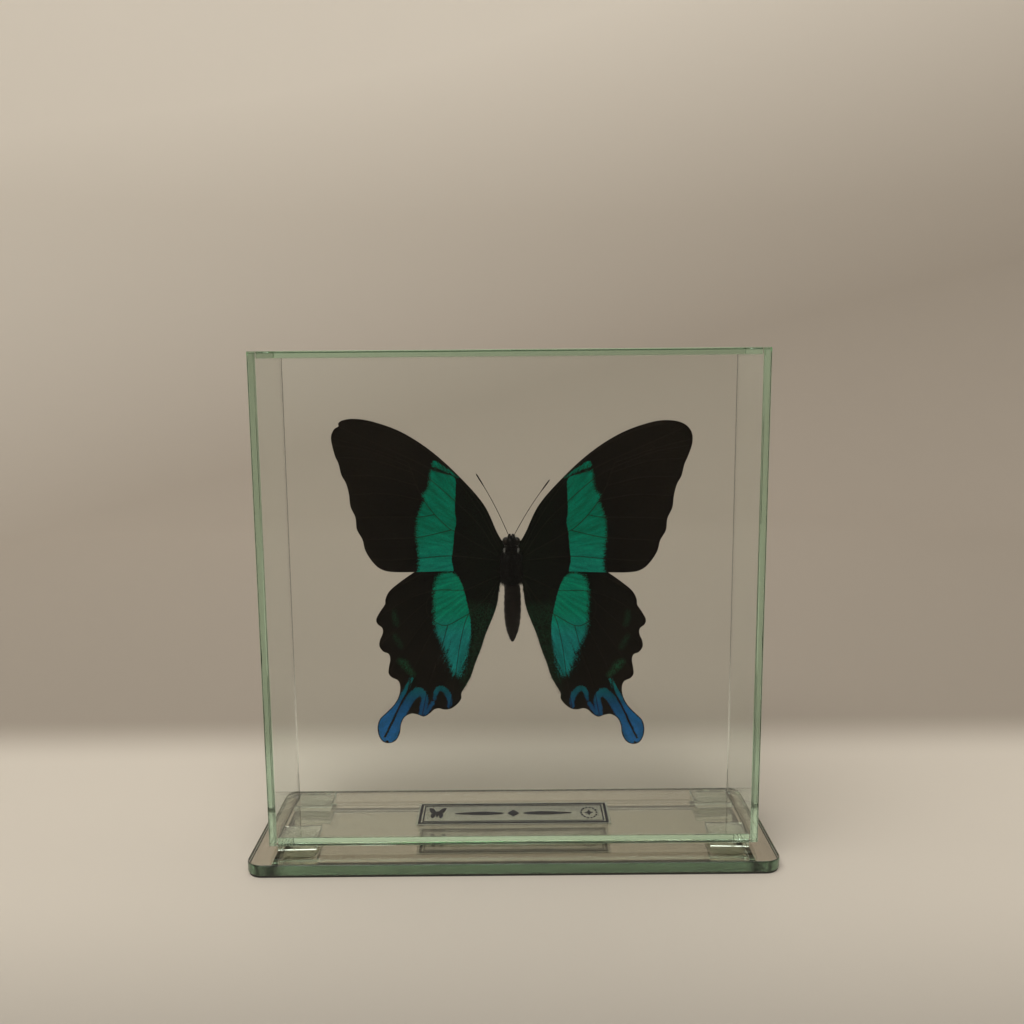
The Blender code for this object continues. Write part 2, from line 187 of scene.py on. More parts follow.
# Dark streaks that break into the bright scales from the wing's edge, and from the band's lower end
HINDWING_GAPS = [
    [(19.6, -23.6, 0.0), (20.8, -27.2, 0.25), (22.2, -30.6, 0.6)],
    [(15.4, -29.6, 0.0), (15.7, -31.4, 0.25), (16.0, -33.6, 0.5)],
    [(31.1, -43.6, 0.25), (31.5, -46.0, 0.6), (32.1, -48.8, 0.8)],
    [(23.1, -43.2, 0.7), (23.3, -46.2, 1.1)],
]
FOREWING_VEINS = [
    [(3.4, 7.5), (9.4, 20.4), (17.3, 30.4), (26.2, 38.2), (37.0, 44.5), (47.5, 47.6)],
    [
        (3.4, 6.0), (9.8, 18.4), (17.8, 29.8), (21.6, 31.5), (25.2, 32.7), (33.0, 36.4), (44.0, 41.4),
        (54.6, 46.2),
    ],
    [(4.2, 5.2), (10.6, 15.0), (18.2, 22.6), (26.4, 29.8), (33.0, 33.6), (45.0, 38.4), (56.4, 40.6)],
    [(33.0, 35.0), (45.0, 39.4), (57.0, 42.6)],
    [(31.8, 31.8), (44.0, 35.6), (56.0, 36.6)],
    [(33.0, 35.0), (31.8, 31.8), (30.4, 27.6), (28.2, 22.8)],
    [(4.2, 4.6), (10.5, 8.2), (18.3, 12.7), (20.7, 14.2), (24.7, 18.2), (28.2, 22.8)],
    [(30.4, 27.6), (42.0, 30.4), (54.3, 30.6)],
    [(28.2, 22.8), (40.0, 24.8), (52.1, 24.4)],
    [(24.7, 18.2), (29.6, 17.4), (40.0, 17.4), (50.3, 17.0)],
    [(19.5, 13.1), (29.4, 10.9), (40.0, 10.2), (48.2, 9.9)],
    [(4.2, 3.2), (18.6, 4.6), (29.7, 3.9), (40.0, 3.2), (45.6, 3.4)],
]
FOREWING_FOLDS = [
    [(6.0, 7.8), (18.6, 16.2), (27.9, 24.4)],
    [(6.0, 3.8), (19.0, 8.6), (30.0, 7.0), (46.0, 6.4)],
]
HINDWING_VEINS = [
    [(4.2, -0.6), (12.0, 1.8), (22.0, 2.0), (31.0, -2.4), (39.4, -7.2)],
    [(4.2, -2.0), (10.0, -4.6), (15.5, -6.8), (24.6, -7.0), (34.0, -10.0), (43.9, -16.3)],
    [(24.6, -7.0), (27.4, -10.4), (27.4, -14.6), (24.4, -17.8), (20.8, -18.6), (13.9, -14.8)],
    [(27.4, -10.6), (34.0, -16.4), (43.2, -25.4)],
    [(27.0, -15.4), (33.0, -23.6), (40.3, -34.6)],
    [(24.4, -17.8), (28.6, -26.0), (32.9, -35.2), (34.4, -41.6), (36.7, -45.8), (42.0, -57.0)],
    [(20.8, -18.6), (23.4, -28.0), (27.2, -39.0), (29.4, -49.2)],
    [(4.2, -3.6), (9.0, -10.4), (13.9, -14.8), (16.6, -24.0), (18.4, -36.0), (20.3, -46.6)],
    [(4.4, -5.0), (7.4, -12.0), (10.8, -22.0), (13.8, -34.0)],
]
HINDWING_FOLDS = [
    [(17.0, -17.0), (19.8, -26.0), (21.8, -34.0)],
    [(9.0, -7.0), (17.0, -12.6), (22.0, -13.4)],
]
BANDS = {"forewing": FOREWING_BAND, "hindwing": HINDWING_BAND}
VEINS = {"forewing": FOREWING_VEINS, "hindwing": HINDWING_VEINS}
FOLDS = {"forewing": FOREWING_FOLDS, "hindwing": HINDWING_FOLDS}
# Middles of the dull spots along the underside's edge, each between two veins
UNDER_SPOTS = {
    "forewing": [],
    "hindwing": [
        (35.6, -11.2), (39.0, -19.0), (37.6, -27.0), (34.0, -34.6), (28.4, -42.0), (22.6, -42.4),
        (17.2, -38.4),
    ],
}


def linear(colour):
    """An sRGB hex colour as linear red, green, blue and alpha."""
    parts = [int(colour[i : i + 2], 16) / 255 for i in (1, 3, 5)]
    return (*(c / 12.92 if c <= 0.04045 else ((c + 0.055) / 1.055) ** 2.4 for c in parts), 1.0)


# ------------------------------------------------------------------------------------ settings
def colour_setting(name, description, default):
    """An sRGB colour that the user can change."""
    return bpy.props.FloatVectorProperty(
        name=name, description=description, subtype="COLOR", size=4, min=0, max=1, default=linear(default)
    )


def length_setting(name, description, default):
    """A length that the user can change."""
    return bpy.props.FloatProperty(
        name=name,
        description=description,
        subtype="DISTANCE",
        unit="LENGTH",
        precision=5,
        min=0,
        default=default,
    )


def number_setting(name, description, default):
    """A plain number that the user can change."""
    return bpy.props.FloatProperty(name=name, description=description, default=default, min=0)


def angle_setting(name, description, default):
    """An angle that the user can change."""
    return bpy.props.FloatProperty(
        name=name, description=description, default=default, subtype="ANGLE", unit="ROTATION"
    )


class GlassSettings(bpy.types.PropertyGroup):
    tint: colour_setting("Tint", "What a long way through the glass lets pass", "#4AE38E")
    density: number_setting("Density", "How fast the tint builds up, per metre", 12.0)
    plate_density: number_setting("Plate density", "The same for the plate, which is greener", 18.0)
    reflection: colour_setting("Reflection", "Picture glass reflects less than bare glass", "#A2A2A2")
    silver: colour_setting("Silver", "The mirror's coat", "#BCABA0")
    seam: colour_setting("Seam", "What the plate's ground edge lets pass", "#A5979C")
    paint: colour_setting("Paint", "The grey paint under the plate", "#3A3C39")


class WingSettings(bpy.types.PropertyGroup):
    ground: colour_setting("Ground", "Velvety brown-black scales", "#0D0907")
    ground_worn: colour_setting("Ground, streaks", "The browner streaks in it", "#18110D")
    ground_outer: colour_setting("Ground, outside", "The browner ground towards the wing's edge", "#2A2019")
    vein: colour_setting("Vein", "Worn scales over the veins", "#3A322A")
    dust: colour_setting("Dust", "Single green scales on the ground", "#2E6B4A")
    green: colour_setting("Green", "The band's shining green scales", "#02D2A8")
    teal: colour_setting("Teal", "The band where it turns to blue", "#2ECCC8")
    blue: colour_setting("Blue", "The tail's shining blue scales", "#38A4FF")
    under: colour_setting("Underside", "Dull brown scales of the underside", "#2A211B")
    under_dark: colour_setting("Underside, streaks", "The darker streaks in it", "#1A1410")
    under_dust: colour_setting("Underside, dust", "Straw dust on its outer half", "#7C6E58")
    under_vein: colour_setting("Underside, veins", "Dark veins of the underside", "#0E0A08")
    spot: colour_setting("Spot", "Spots on the underside of the hindwing", "#783F3E")
    spot_core: colour_setting("Spot, core", "The straw core of each spot", "#A89468")


class BodySettings(bpy.types.PropertyGroup):
    chitin: colour_setting("Chitin", "Head, thorax, abdomen and legs", "#120D0B")
    abdomen: colour_setting("Abdomen", "The abdomen's red-brown rings", "#220D07")
    eye: colour_setting("Eye", "Compound eyes", "#2A1B12")
    hair: colour_setting("Hair", "Hair of the thorax and the wing roots", "#15100D")
    # painted highlight: the tufts' pale colour stands for light caught on the hair behind the eyes
    tuft: colour_setting("Tufts", "The pale tufts behind the eyes", "#EDEAE2")
    hair_count: bpy.props.IntProperty(name="Hairs", description="Hairs on the thorax", default=3800, min=0)


class LabelSettings(bpy.types.PropertyGroup):
    ink: colour_setting("Ink", "Dark blue print of the border", "#161F3C")
    film: colour_setting("Film", "Clear film, faintly milky", "#E4ECE8")


class StageSettings(bpy.types.PropertyGroup):
    floor: colour_setting("Floor", "Pale floor under the case", "#DED7CB")
    wall: colour_setting("Wall", "Warm grey backdrop behind the case", "#B7AEA2")
    # painted light: the wall is paler higher up and to the left, where more light falls on it
    wall_painted_light: colour_setting("Wall above", "The backdrop where it is paler, higher up", "#FBF5EA")
    # painted shade: the wall is darker at its foot, next to the floor
    wall_painted_shade: colour_setting("Wall's foot", "The backdrop where it is darker, next to the floor", "#A69D91")
    # painted shade: the floor before the case is darker, so that the panes in front reflect little of it
    shade: colour_setting("Shade", "Darker backdrop in front, so that the glass stays clear", "#6E6962")
    lens: number_setting("Lens", "Focal length, mm", 34.25)
    key: number_setting("Key light", "Power of the soft light overhead", 18.0)
    fill: number_setting("Fill light", "Strength of the light from all round", 0.5)


SETTINGS = {
    "specimen_glass": GlassSettings,
    "specimen_wing": WingSettings,
    "specimen_body": BodySettings,
    "specimen_label": LabelSettings,
    "specimen_stage": StageSettings,
}


# ------------------------------------------------------------------------------ modelling tools
def deselect():
    """Leaves edit mode, with nothing selected."""
    if bpy.context.mode != "OBJECT":
        bpy.ops.object.mode_set(mode="OBJECT")
    for piece in bpy.context.view_layer.objects:
        piece.select_set(False)


def active(piece):
    """Makes a piece the only one selected, and the active one."""
    deselect()
    piece.select_set(True)
    bpy.context.view_layer.objects.active = piece


def newest(name):
    """Names the primitive that was just added, and puts its place and size into its mesh."""
    piece = bpy.context.active_object
    piece.name = piece.data.name = name
    bpy.ops.object.transform_apply(location=True, rotation=True, scale=True)
    return piece


def choose(piece, kind, chosen):
    """Goes to edit mode with only the chosen VERT, EDGE or FACE elements selected: one truth for each."""
    active(piece)
    bpy.ops.object.mode_set(mode="EDIT")
    bpy.ops.mesh.select_mode(type=kind)
    bpy.ops.mesh.select_all(action="DESELECT")
    bpy.ops.object.mode_set(mode="OBJECT")
    mesh = piece.data
    elements = {"VERT": mesh.vertices, "EDGE": mesh.edges, "FACE": mesh.polygons}[kind]
    elements.foreach_set("select", chosen)
    bpy.ops.object.mode_set(mode="EDIT")


def edge_ends(piece):
    """The two vertices of each edge, by their numbers."""
    ends = np.empty(len(piece.data.edges) * 2, int)
    piece.data.edges.foreach_get("vertices", ends)
    return ends.reshape(-1, 2)


def apply_all(piece):
    """Applies a piece's modifiers, in their order."""
    active(piece)
    for name in [modifier.name for modifier in piece.modifiers]:
        bpy.ops.object.modifier_apply(modifier=name)


def smooth(piece, degrees):
    """Shades a piece smooth, but for edges sharper than an angle."""
    active(piece)
    bpy.ops.object.shade_smooth_by_angle(angle=radians(degrees))


def join(name, pieces):
    """Makes one piece of several."""
    active(pieces[0])
    for piece in pieces:
        piece.select_set(True)
    bpy.ops.object.join()
    joined = bpy.context.active_object
    joined.name = joined.data.name = name
    return joined


def finish(piece, slot, *materials, stands_for=()):
    """Gives a finished piece its materials and its place on the body."""
    slots = piece.data.materials
    for number, made in enumerate(materials):
        if number < len(slots):
            slots[number] = made
        else:
            slots.append(made)
    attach(piece, "root")
    if stands_for:
        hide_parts(*stands_for)
    return piece


def dress(node, made):
    """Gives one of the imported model's own nodes its finish."""
    node.data.materials.clear()
    node.data.materials.append(made)


def coordinates(piece):
    """A piece's vertices as rows of x, y and z, in metres."""
    values = np.empty(len(piece.data.vertices) * 3)
    piece.data.vertices.foreach_get("co", values)
    return values.reshape(-1, 3)


def set_coordinates(piece, values):
    """Moves a piece's vertices to rows of x, y and z, in metres."""
    piece.data.vertices.foreach_set("co", np.ascontiguousarray(values, np.float32).ravel())
    piece.data.update()


def hang(piece):
    """Turns a piece of the butterfly with the rest of it, about the glued point."""
    middle = Matrix.Translation((0, 0, WING_LEVEL * MM))
    piece.data.transform(middle @ Matrix.Rotation(SPECIMEN_TURN, 4, "Y") @ middle.inverted())
    return piece


def curve_through(points, steps, closed):
    """A Catmull-Rom line through points of any size, with steps from each to the next."""
    points = np.array(points, float)
    if not closed:
        points = np.vstack([2 * points[0] - points[1], points, 2 * points[-1] - points[-2]])
    count = len(points)
    line = []
    for i in range(count if closed else count - 3):
        a, b, c, d = (points[(i + k - closed) % count] for k in range(4))
        for step in range(steps):
            t = step / steps
            square, cube = 2 * a - 5 * b + 4 * c - d, 3 * b - a - 3 * c + d
            line.append((2 * b + (c - a) * t + square * t**2 + cube * t**3) / 2)
    if not closed:
        line.append(points[-2])
    return np.array(line)


def nearest(points, line, closed=False):
    """For each point: its distance from a line, the line's nearest place, and how far along that is."""
    best = np.full(len(points), np.inf)
    place = np.zeros((len(points), 2))
    part = np.zeros(len(points))
    ends = np.roll(line, -1, axis=0) if closed else line[1:]
    for i, (a, b) in enumerate(zip(line, ends)):
        way = b[:2] - a[:2]
        share = np.clip((points - a[:2]) @ way / max(way @ way, 1e-12), 0, 1)
        foot = a[:2] + share[:, None] * way
        distance = np.hypot(*(points - foot).T)
        closer = distance < best
        best[closer], place[closer], part[closer] = distance[closer], foot[closer], (i + share)[closer]
    return best, place, part


def inside(points, line):
    """Whether each point is inside a closed line."""
    odd = np.zeros(len(points), bool)
    for a, b in zip(line, np.roll(line, -1, axis=0)):
        if a[1] != b[1]:
            crosses = (points[:, 1] > min(a[1], b[1])) & (points[:, 1] <= max(a[1], b[1]))
            odd ^= crosses & (points[:, 0] < a[0] + (points[:, 1] - a[1]) * (b[0] - a[0]) / (b[1] - a[1]))
    return odd


def step_up(values, low, high):
    """0 below low, 1 above high, and a smooth step between them."""
    share = np.clip((values - low) / (high - low), 0, 1)
    return share * share * (3 - 2 * share)


def renumber(piece):
    """Numbers a piece's vertices and faces by their place.

    Extrusion numbers them differently in each run, and hair is drawn by the number of a face.
    """
    mesh = piece.data
    places = coordinates(piece)
    order = np.lexsort(places.T)
    number = np.argsort(order)
    faces = []
    for face in mesh.polygons:
        corners = [int(number[corner]) for corner in face.vertices]
        first = corners.index(min(corners))
        faces.append(corners[first:] + corners[:first])
    mesh.clear_geometry()
    mesh.from_pydata(places[order].tolist(), [], sorted(faces))


def raise_up(piece, height):
    """Extrudes all of a flat piece straight up, and turns its faces outwards."""
    active(piece)
    bpy.ops.object.mode_set(mode="EDIT")
    bpy.ops.mesh.select_all(action="SELECT")
    bpy.ops.mesh.extrude_region_move(TRANSFORM_OT_translate={"value": (0, 0, height)})
    bpy.ops.mesh.select_all(action="SELECT")
    bpy.ops.mesh.normals_make_consistent(inside=False)
    bpy.ops.object.mode_set(mode="OBJECT")
    renumber(piece)


def plate(name, outline, low, high):
    """A flat piece with any outline in X and Y, mm, between two heights in metres."""
    deselect()
    bpy.ops.mesh.primitive_circle_add(
        vertices=len(outline), radius=MM, fill_type="NGON", location=(0, 0, low)
    )
    piece = newest(name)
    set_coordinates(piece, np.column_stack([np.array(outline) * MM, np.full(len(outline), low)]))
    raise_up(piece, high - low)
    return piece


def thread(name, points, sides):
    """A round tube through points of (x, y, z, radius), all in mm, closed at both ends."""
    line = bpy.data.curves.new(name, "CURVE")
    line.dimensions = "3D"
    line.bevel_depth = MM
    line.bevel_resolution = sides // 2 - 2
    line.use_fill_caps = True
    run = line.splines.new("POLY")
    run.points.add(len(points) - 1)
    for point, (x, y, z, radius) in zip(run.points, points):
        point.co = (x * MM, y * MM, z * MM, 1)
        point.radius = radius
    piece = bpy.data.objects.new(name, line)
    bpy.context.scene.collection.objects.link(piece)
    active(piece)
    bpy.ops.object.convert(target="MESH")
    piece = bpy.context.active_object
    bpy.ops.object.mode_set(mode="EDIT")
    bpy.ops.mesh.select_all(action="SELECT")
    bpy.ops.mesh.remove_doubles(threshold=0.001 * MM)
    bpy.ops.mesh.normals_make_consistent(inside=False)
    bpy.ops.object.mode_set(mode="OBJECT")
    smooth(piece, 60)
    return piece


def grown_together(name, balls, grain):
    """Round swellings of (x, y, z, and three half-widths), mm, melted into one skin."""
    parts = []
    for x, y, z, *radii in balls:
        deselect()
        bpy.ops.mesh.primitive_uv_sphere_add(
            segments=32, ring_count=20, radius=MM, location=(x * MM, y * MM, z * MM), scale=radii
        )
        parts.append(newest(name))
    piece = join(name, parts)
    melt = piece.modifiers.new("melt", "REMESH")
    melt.mode = "VOXEL"
    melt.voxel_size = grain * MM
    soften = piece.modifiers.new("soften", "SMOOTH")
    soften.factor = 0.5
    soften.iterations = 8
    apply_all(piece)
    smooth(piece, 80)
    return piece


def scatter(piece, count, seed, keep):
    """Seeded points spread evenly over a piece's faces, mm, and the way out at each."""
    mesh = piece.data
    size = len(mesh.polygons)
    middles, normals, areas = np.empty(size * 3), np.empty(size * 3), np.empty(size)
    mesh.polygons.foreach_get("center", middles)
    mesh.polygons.foreach_get("normal", normals)
    mesh.polygons.foreach_get("area", areas)
    middles, normals = middles.reshape(-1, 3) / MM, normals.reshape(-1, 3)
    if keep is not None:
        areas = areas * keep(middles, normals)
    chance = np.random.default_rng(seed)
    chosen = chance.choice(size, count, p=areas / areas.sum())
    return middles[chosen] + chance.normal(0, 0.04, (count, 3)), normals[chosen]


def hairs(name, roots, ways, thickness, seed):
    """Many hairs as one mesh: each is a three-sided spike, bent a little, from its root along its way."""
    curl = 0.25
    chance = np.random.default_rng(seed)
    count = len(roots)
    length = np.linalg.norm(ways, axis=1, keepdims=True)
    along = ways / length
    side = np.cross(along, chance.normal(size=(count, 3)))
    side /= np.linalg.norm(side, axis=1, keepdims=True)
    other = np.cross(along, side)
    bend = (side * chance.normal(0, curl, (count, 1)) + other * chance.normal(0, curl, (count, 1))) * length
    rings = []
    for share, width in ((0.0, 1.0), (0.4, 0.85), (0.75, 0.55)):
        middle = roots + ways * share + bend * share**2
        for k in range(3):
            around = 2 * pi * k / 3
            rings.append(middle + (side * cos(around) + other * sin(around)) * thickness * width)
    rings.append(roots + ways + bend)
    corners = np.stack(rings, axis=1).reshape(-1, 3) * MM
    pattern = [(2, 1, 0)]
    for ring in (0, 3):
        for k in range(3):
            after = (k + 1) % 3
            pattern.append((ring + k, ring + after, ring + 3 + after, ring + 3 + k))
    pattern += [(6, 7, 9), (7, 8, 9), (8, 6, 9)]
    faces = [tuple(10 * i + corner for corner in face) for i in range(count) for face in pattern]
    mesh = bpy.data.meshes.new(name)
    mesh.from_pydata(corners.tolist(), [], faces)
    mesh.shade_smooth()
    piece = bpy.data.objects.new(name, mesh)
    bpy.context.scene.collection.objects.link(piece)
    return piece


# ------------------------------------------------------------------------------------ materials
def material(name):
    """A new material, its node tree and its Principled shader."""
    made = bpy.data.materials.new(name)
    made.use_nodes = True
    return made, made.node_tree, made.node_tree.nodes["Principled BSDF"]


def add(tree, kind, sockets=None, **settings):
    """Adds a node with its settings; sockets gives inputs a value, or a node whose output they take."""
    made = tree.nodes.new("ShaderNode" + kind)
    for name, value in settings.items():
        setattr(made, name, value)
    connect(tree, made, sockets or {})
    return made


def connect(tree, made, sockets):
    """Sets a node's inputs, by name or by number, to values or to what other nodes give."""
    for name, value in sockets.items():
        if isinstance(name, int):
            target = made.inputs[name]
        else:
            target = next(s for s in made.inputs if s.name == name and s.enabled)
        if isinstance(value, bpy.types.Node):
            value = next(s for s in value.outputs if s.enabled)
        if isinstance(value, bpy.types.NodeSocket):
            tree.links.new(value, target)
        else:
            target.default_value = value


def absorb(tree, colour, density):
    """Colours what light loses on its way through, as in a thick edge of glass."""
    volume = add(tree, "VolumeAbsorption", {"Color": colour, "Density": density})
    tree.links.new(volume.outputs["Volume"], tree.nodes["Material Output"].inputs["Volume"])


def float_glass(name, ripple):
    """Cut picture glass: clear and with little reflection through its face, grass green along its length."""
    looks = bpy.context.scene.specimen_glass
    made, tree, surface = material(name)
    place = add(tree, "TexCoord").outputs["Object"]
    waves = add(tree, "TexNoise", {"Vector": place, "Scale": 1 / (6 * MM), "Detail": 1.0})
    bump = add(tree, "Bump", {"Height": waves, "Strength": ripple, "Distance": 0.02 * MM})
    connect(tree, surface, {
        "Base Color": (1, 1, 1, 1), "Roughness": 0.0, "IOR": 1.52, "Transmission Weight": 1.0,
        "Specular Tint": looks.reflection, "Normal": bump,
    })
    absorb(tree, looks.tint, looks.density)
    return made


def ground_edge_glass():
    """The plate's glass: polished above, with a seamed edge that is ground matt."""
    looks = bpy.context.scene.specimen_glass
    made, tree, surface = material("mirror_plate_glass")
    place = add(tree, "TexCoord").outputs["Object"]
    grit = add(tree, "TexNoise", {"Vector": place, "Scale": 1 / (0.3 * MM), "Detail": 3.0})
    normal = add(tree, "SeparateXYZ", {0: add(tree, "NewGeometry").outputs["True Normal"]})
    level = add(tree, "Math", {0: normal.outputs["Z"]}, operation="ABSOLUTE")
    edge = add(tree, "MapRange", {"Value": level, "From Min": 0.98, "From Max": 0.9})
    rough = add(tree, "MapRange", {"Value": edge, "To Min": 0.0, "To Max": 0.22})
    bump = add(tree, "Bump", {"Height": grit, "Strength": 0.12, "Distance": 0.01 * MM})
    body = add(tree, "Mix", {"Factor": edge, "A": (1, 1, 1, 1), "B": looks.seam}, data_type="RGBA")
    connect(tree, surface, {
        "Base Color": body, "Roughness": rough, "IOR": 1.52, "Transmission Weight": 1.0,
        "Normal": bump,
    })
    absorb(tree, looks.tint, looks.plate_density)
    return made


def mirror_silver():
    """A dull chrome film on the back of the glass: a true mirror, but a dark one."""
    made, tree, surface = material("mirror_silver")
    connect(tree, surface, {
        "Base Color": bpy.context.scene.specimen_glass.silver, "Metallic": 1.0, "Roughness": 0.03,
    })
    return made


def backing_paint():
    """Grey lacquer sprayed under the plate: matt and a little pebbled."""
    looks = bpy.context.scene.specimen_glass
    made, tree, surface = material("mirror_backing_paint")
    place = add(tree, "TexCoord").outputs["Object"]
    pebbles = add(tree, "TexNoise", {"Vector": place, "Scale": 1 / (0.8 * MM), "Detail": 4.0})
    shade = add(tree, "Mix", {"Factor": pebbles, "A": linear("#2C2E2B"), "B": looks.paint}, data_type="RGBA")
    bump = add(tree, "Bump", {"Height": pebbles, "Strength": 0.4, "Distance": 0.03 * MM})
    connect(tree, surface, {"Base Color": shade, "Roughness": 0.6, "Normal": bump})
    return made


def clear_glue(name, ripple):
    """UV-cured acrylic glue: clear, with the swirls it was pressed into."""
    made, tree, surface = material(name)
    place = add(tree, "TexCoord").outputs["Object"]
    swirl = add(tree, "TexNoise", {"Vector": place, "Scale": 1 / (3 * MM), "Detail": 2.0, "Distortion": 1.5})
    bump = add(tree, "Bump", {"Height": swirl, "Strength": ripple, "Distance": 0.25 * MM})
    connect(tree, surface, {
        "Base Color": linear("#F4F8F2"), "Roughness": 0.02, "IOR": 1.48, "Transmission Weight": 1.0,
        "Normal": bump,
    })
    return made


def label_film():
    """Clear polyester film with an inkjet coat that makes it faintly milky."""
    made, tree, surface = material("label_film")
    place = add(tree, "TexCoord").outputs["Object"]
    cloud = add(tree, "TexNoise", {"Vector": place, "Scale": 1 / (4 * MM), "Detail": 2.0})
    rough = add(tree, "MapRange", {"Value": cloud, "To Min": 0.05, "To Max": 0.12})
    connect(tree, surface, {
        "Base Color": bpy.context.scene.specimen_label.film, "Roughness": rough, "IOR": 1.5,
        "Transmission Weight": 0.92,
    })
    return made


def label_ink():
    """Inkjet print on the film: dark blue, dense and matt, a little uneven."""
    looks = bpy.context.scene.specimen_label
    made, tree, surface = material("label_ink")
    place = add(tree, "TexCoord").outputs["Object"]
    grain = add(tree, "TexNoise", {"Vector": place, "Scale": 1 / (0.5 * MM), "Detail": 3.0})
    shade = add(tree, "Mix", {"Factor": grain, "A": linear("#0C1226"), "B": looks.ink}, data_type="RGBA")
    connect(tree, surface, {"Base Color": shade, "Roughness": 0.55})
    return made


def stored_on_wing(tree, *names):
    """Some of the measures that each wing's mesh stores, in the order asked for."""
    return [add(tree, "Attribute", attribute_name=name).outputs["Fac"] for name in names]


def wing_streaks(tree, across, along, seed):
    """A pattern drawn out along the veins: across and along are its grain, in mm."""
    ray, reach = stored_on_wing(tree, "ray", "reach")
    across_part = add(tree, "Math", {0: ray, 1: 1 / across}, operation="MULTIPLY")
    along_part = add(tree, "Math", {0: reach, 1: 1 / along}, operation="MULTIPLY")
    place = add(tree, "CombineXYZ", {"X": across_part, "Y": along_part, "Z": seed})
    return add(tree, "TexNoise", {"Vector": place, "Scale": 1.0, "Detail": 3.0}).outputs["Fac"]


def wing_scales(tree, speck):
    """The dust of scales: rows of them, and the specks in which their colours change, speck mm wide.

    Real scales are 0.1 mm wide. These are 0.22 mm, so that they show.
    """
    place = add(tree, "TexCoord").outputs["Object"]
    rows = add(tree, "TexVoronoi", {"Vector": place, "Scale": 1 / (0.22 * MM)})
    specks = add(tree, "TexNoise", {"Vector": place, "Scale": 1 / (speck * MM), "Detail": 2.0})
    return rows, specks.outputs["Fac"]


def scale_by_scale(tree, colour, rows):
    """Makes each scale a little lighter or darker than its neighbours."""
    own = add(tree, "SeparateColor", {0: rows.outputs["Color"]})
    shade = add(tree, "MapRange", {"Value": own, "To Min": 0.8, "To Max": 1.15})
    return add(tree, "Mix", {"Factor": 1.0, "A": colour, "B": shade}, data_type="RGBA", blend_type="MULTIPLY")


def wing_upper():
    """Scales of the upper side: matt brown-black velvet, and a band of metallic green and blue."""
    looks = bpy.context.scene.specimen_wing
    made, tree, surface = material("wing_scales_upper")
    cover, hue, glow = stored_on_wing(tree, "cover", "hue", "glow")
    dust, vein, reach = stored_on_wing(tree, "dust", "vein", "reach")
    streaks = wing_streaks(tree, 0.3, 3.0, 0.0)
    broad = wing_streaks(tree, 1.6, 9.0, 4.0)
    rows, specks = wing_scales(tree, 0.36)
    # where the shining scales lie: the stored cover with a ragged edge, thinned out over the veins
    ragged = add(tree, "Math", {0: streaks, 1: specks}, operation="ADD")
    ragged = add(tree, "Math", {0: ragged, 1: 0.9, 2: -0.9}, operation="MULTIPLY_ADD")
    cover = add(tree, "Math", {0: cover, 1: ragged}, operation="ADD")
    cover = add(tree, "MapRange", {
        "Value": cover, "From Min": 0.24, "From Max": 0.76,
    }, interpolation_type="SMOOTHSTEP")
    vein = add(tree, "MapRange", {
        "Value": vein, "From Min": 0.02, "From Max": 0.28, "To Min": 0.78, "To Max": 0.0,
    }, interpolation_type="SMOOTHSTEP")
    clear = add(tree, "Math", {0: 1.0, 1: vein}, operation="SUBTRACT")
    bright = add(tree, "Math", {0: cover, 1: clear}, operation="MULTIPLY")
    # the shining scales' own colours: green, then teal, then blue
    teal = add(tree, "MapRange", {"Value": hue, "From Min": 0.0, "From Max": 0.5})
    blue = add(tree, "MapRange", {"Value": hue, "From Min": 0.5, "From Max": 1.0})
    shining = add(tree, "Mix", {"Factor": teal, "A": looks.green, "B": looks.teal}, data_type="RGBA")
    shining = add(tree, "Mix", {"Factor": blue, "A": shining, "B": looks.blue}, data_type="RGBA")
    shade = add(tree, "MapRange", {
        "Value": broad, "From Min": 0.3, "From Max": 0.7, "To Min": 0.62, "To Max": 1.12,
    })
    shade = add(tree, "Math", {0: shade, 1: glow}, operation="MULTIPLY")
    shining = add(tree, "Mix", {
        "Factor": 1.0, "A": shining, "B": shade,
    }, data_type="RGBA", blend_type="MULTIPLY")
    # the dark ground: browner outside and over the veins, with a thin green dust
    ground = add(tree, "Mix", {"Factor": broad, "A": looks.ground, "B": looks.ground_worn}, data_type="RGBA")
    outer = add(tree, "MapRange", {"Value": reach, "From Min": 22.0, "From Max": 52.0, "To Max": 0.85})
    ground = add(tree, "Mix", {"Factor": outer, "A": ground, "B": looks.ground_outer}, data_type="RGBA")
    worn = add(tree, "Math", {0: vein, 1: 0.45}, operation="MULTIPLY")
    ground = add(tree, "Mix", {"Factor": worn, "A": ground, "B": looks.vein}, data_type="RGBA")
    dusty = add(tree, "MapRange", {"Value": specks, "From Min": 0.34, "From Max": 0.64})
    dusty = add(tree, "Math", {0: dusty, 1: dust}, operation="MULTIPLY")
    ground = add(tree, "Mix", {"Factor": dusty, "A": ground, "B": looks.dust}, data_type="RGBA")
    colour = add(tree, "Mix", {"Factor": bright, "A": ground, "B": shining}, data_type="RGBA")
    metal = add(tree, "Math", {0: bright, 1: 0.15}, operation="MULTIPLY")
    height = add(tree, "Math", {0: rows.outputs["Distance"], 1: streaks}, operation="ADD")
    bump = add(tree, "Bump", {"Height": height, "Strength": 0.35, "Distance": 0.04 * MM})
    connect(tree, surface, {
        "Base Color": scale_by_scale(tree, colour, rows), "Metallic": metal, "Roughness": 0.6,
        "Specular IOR Level": 0.1, "Normal": bump,
    })
    return made


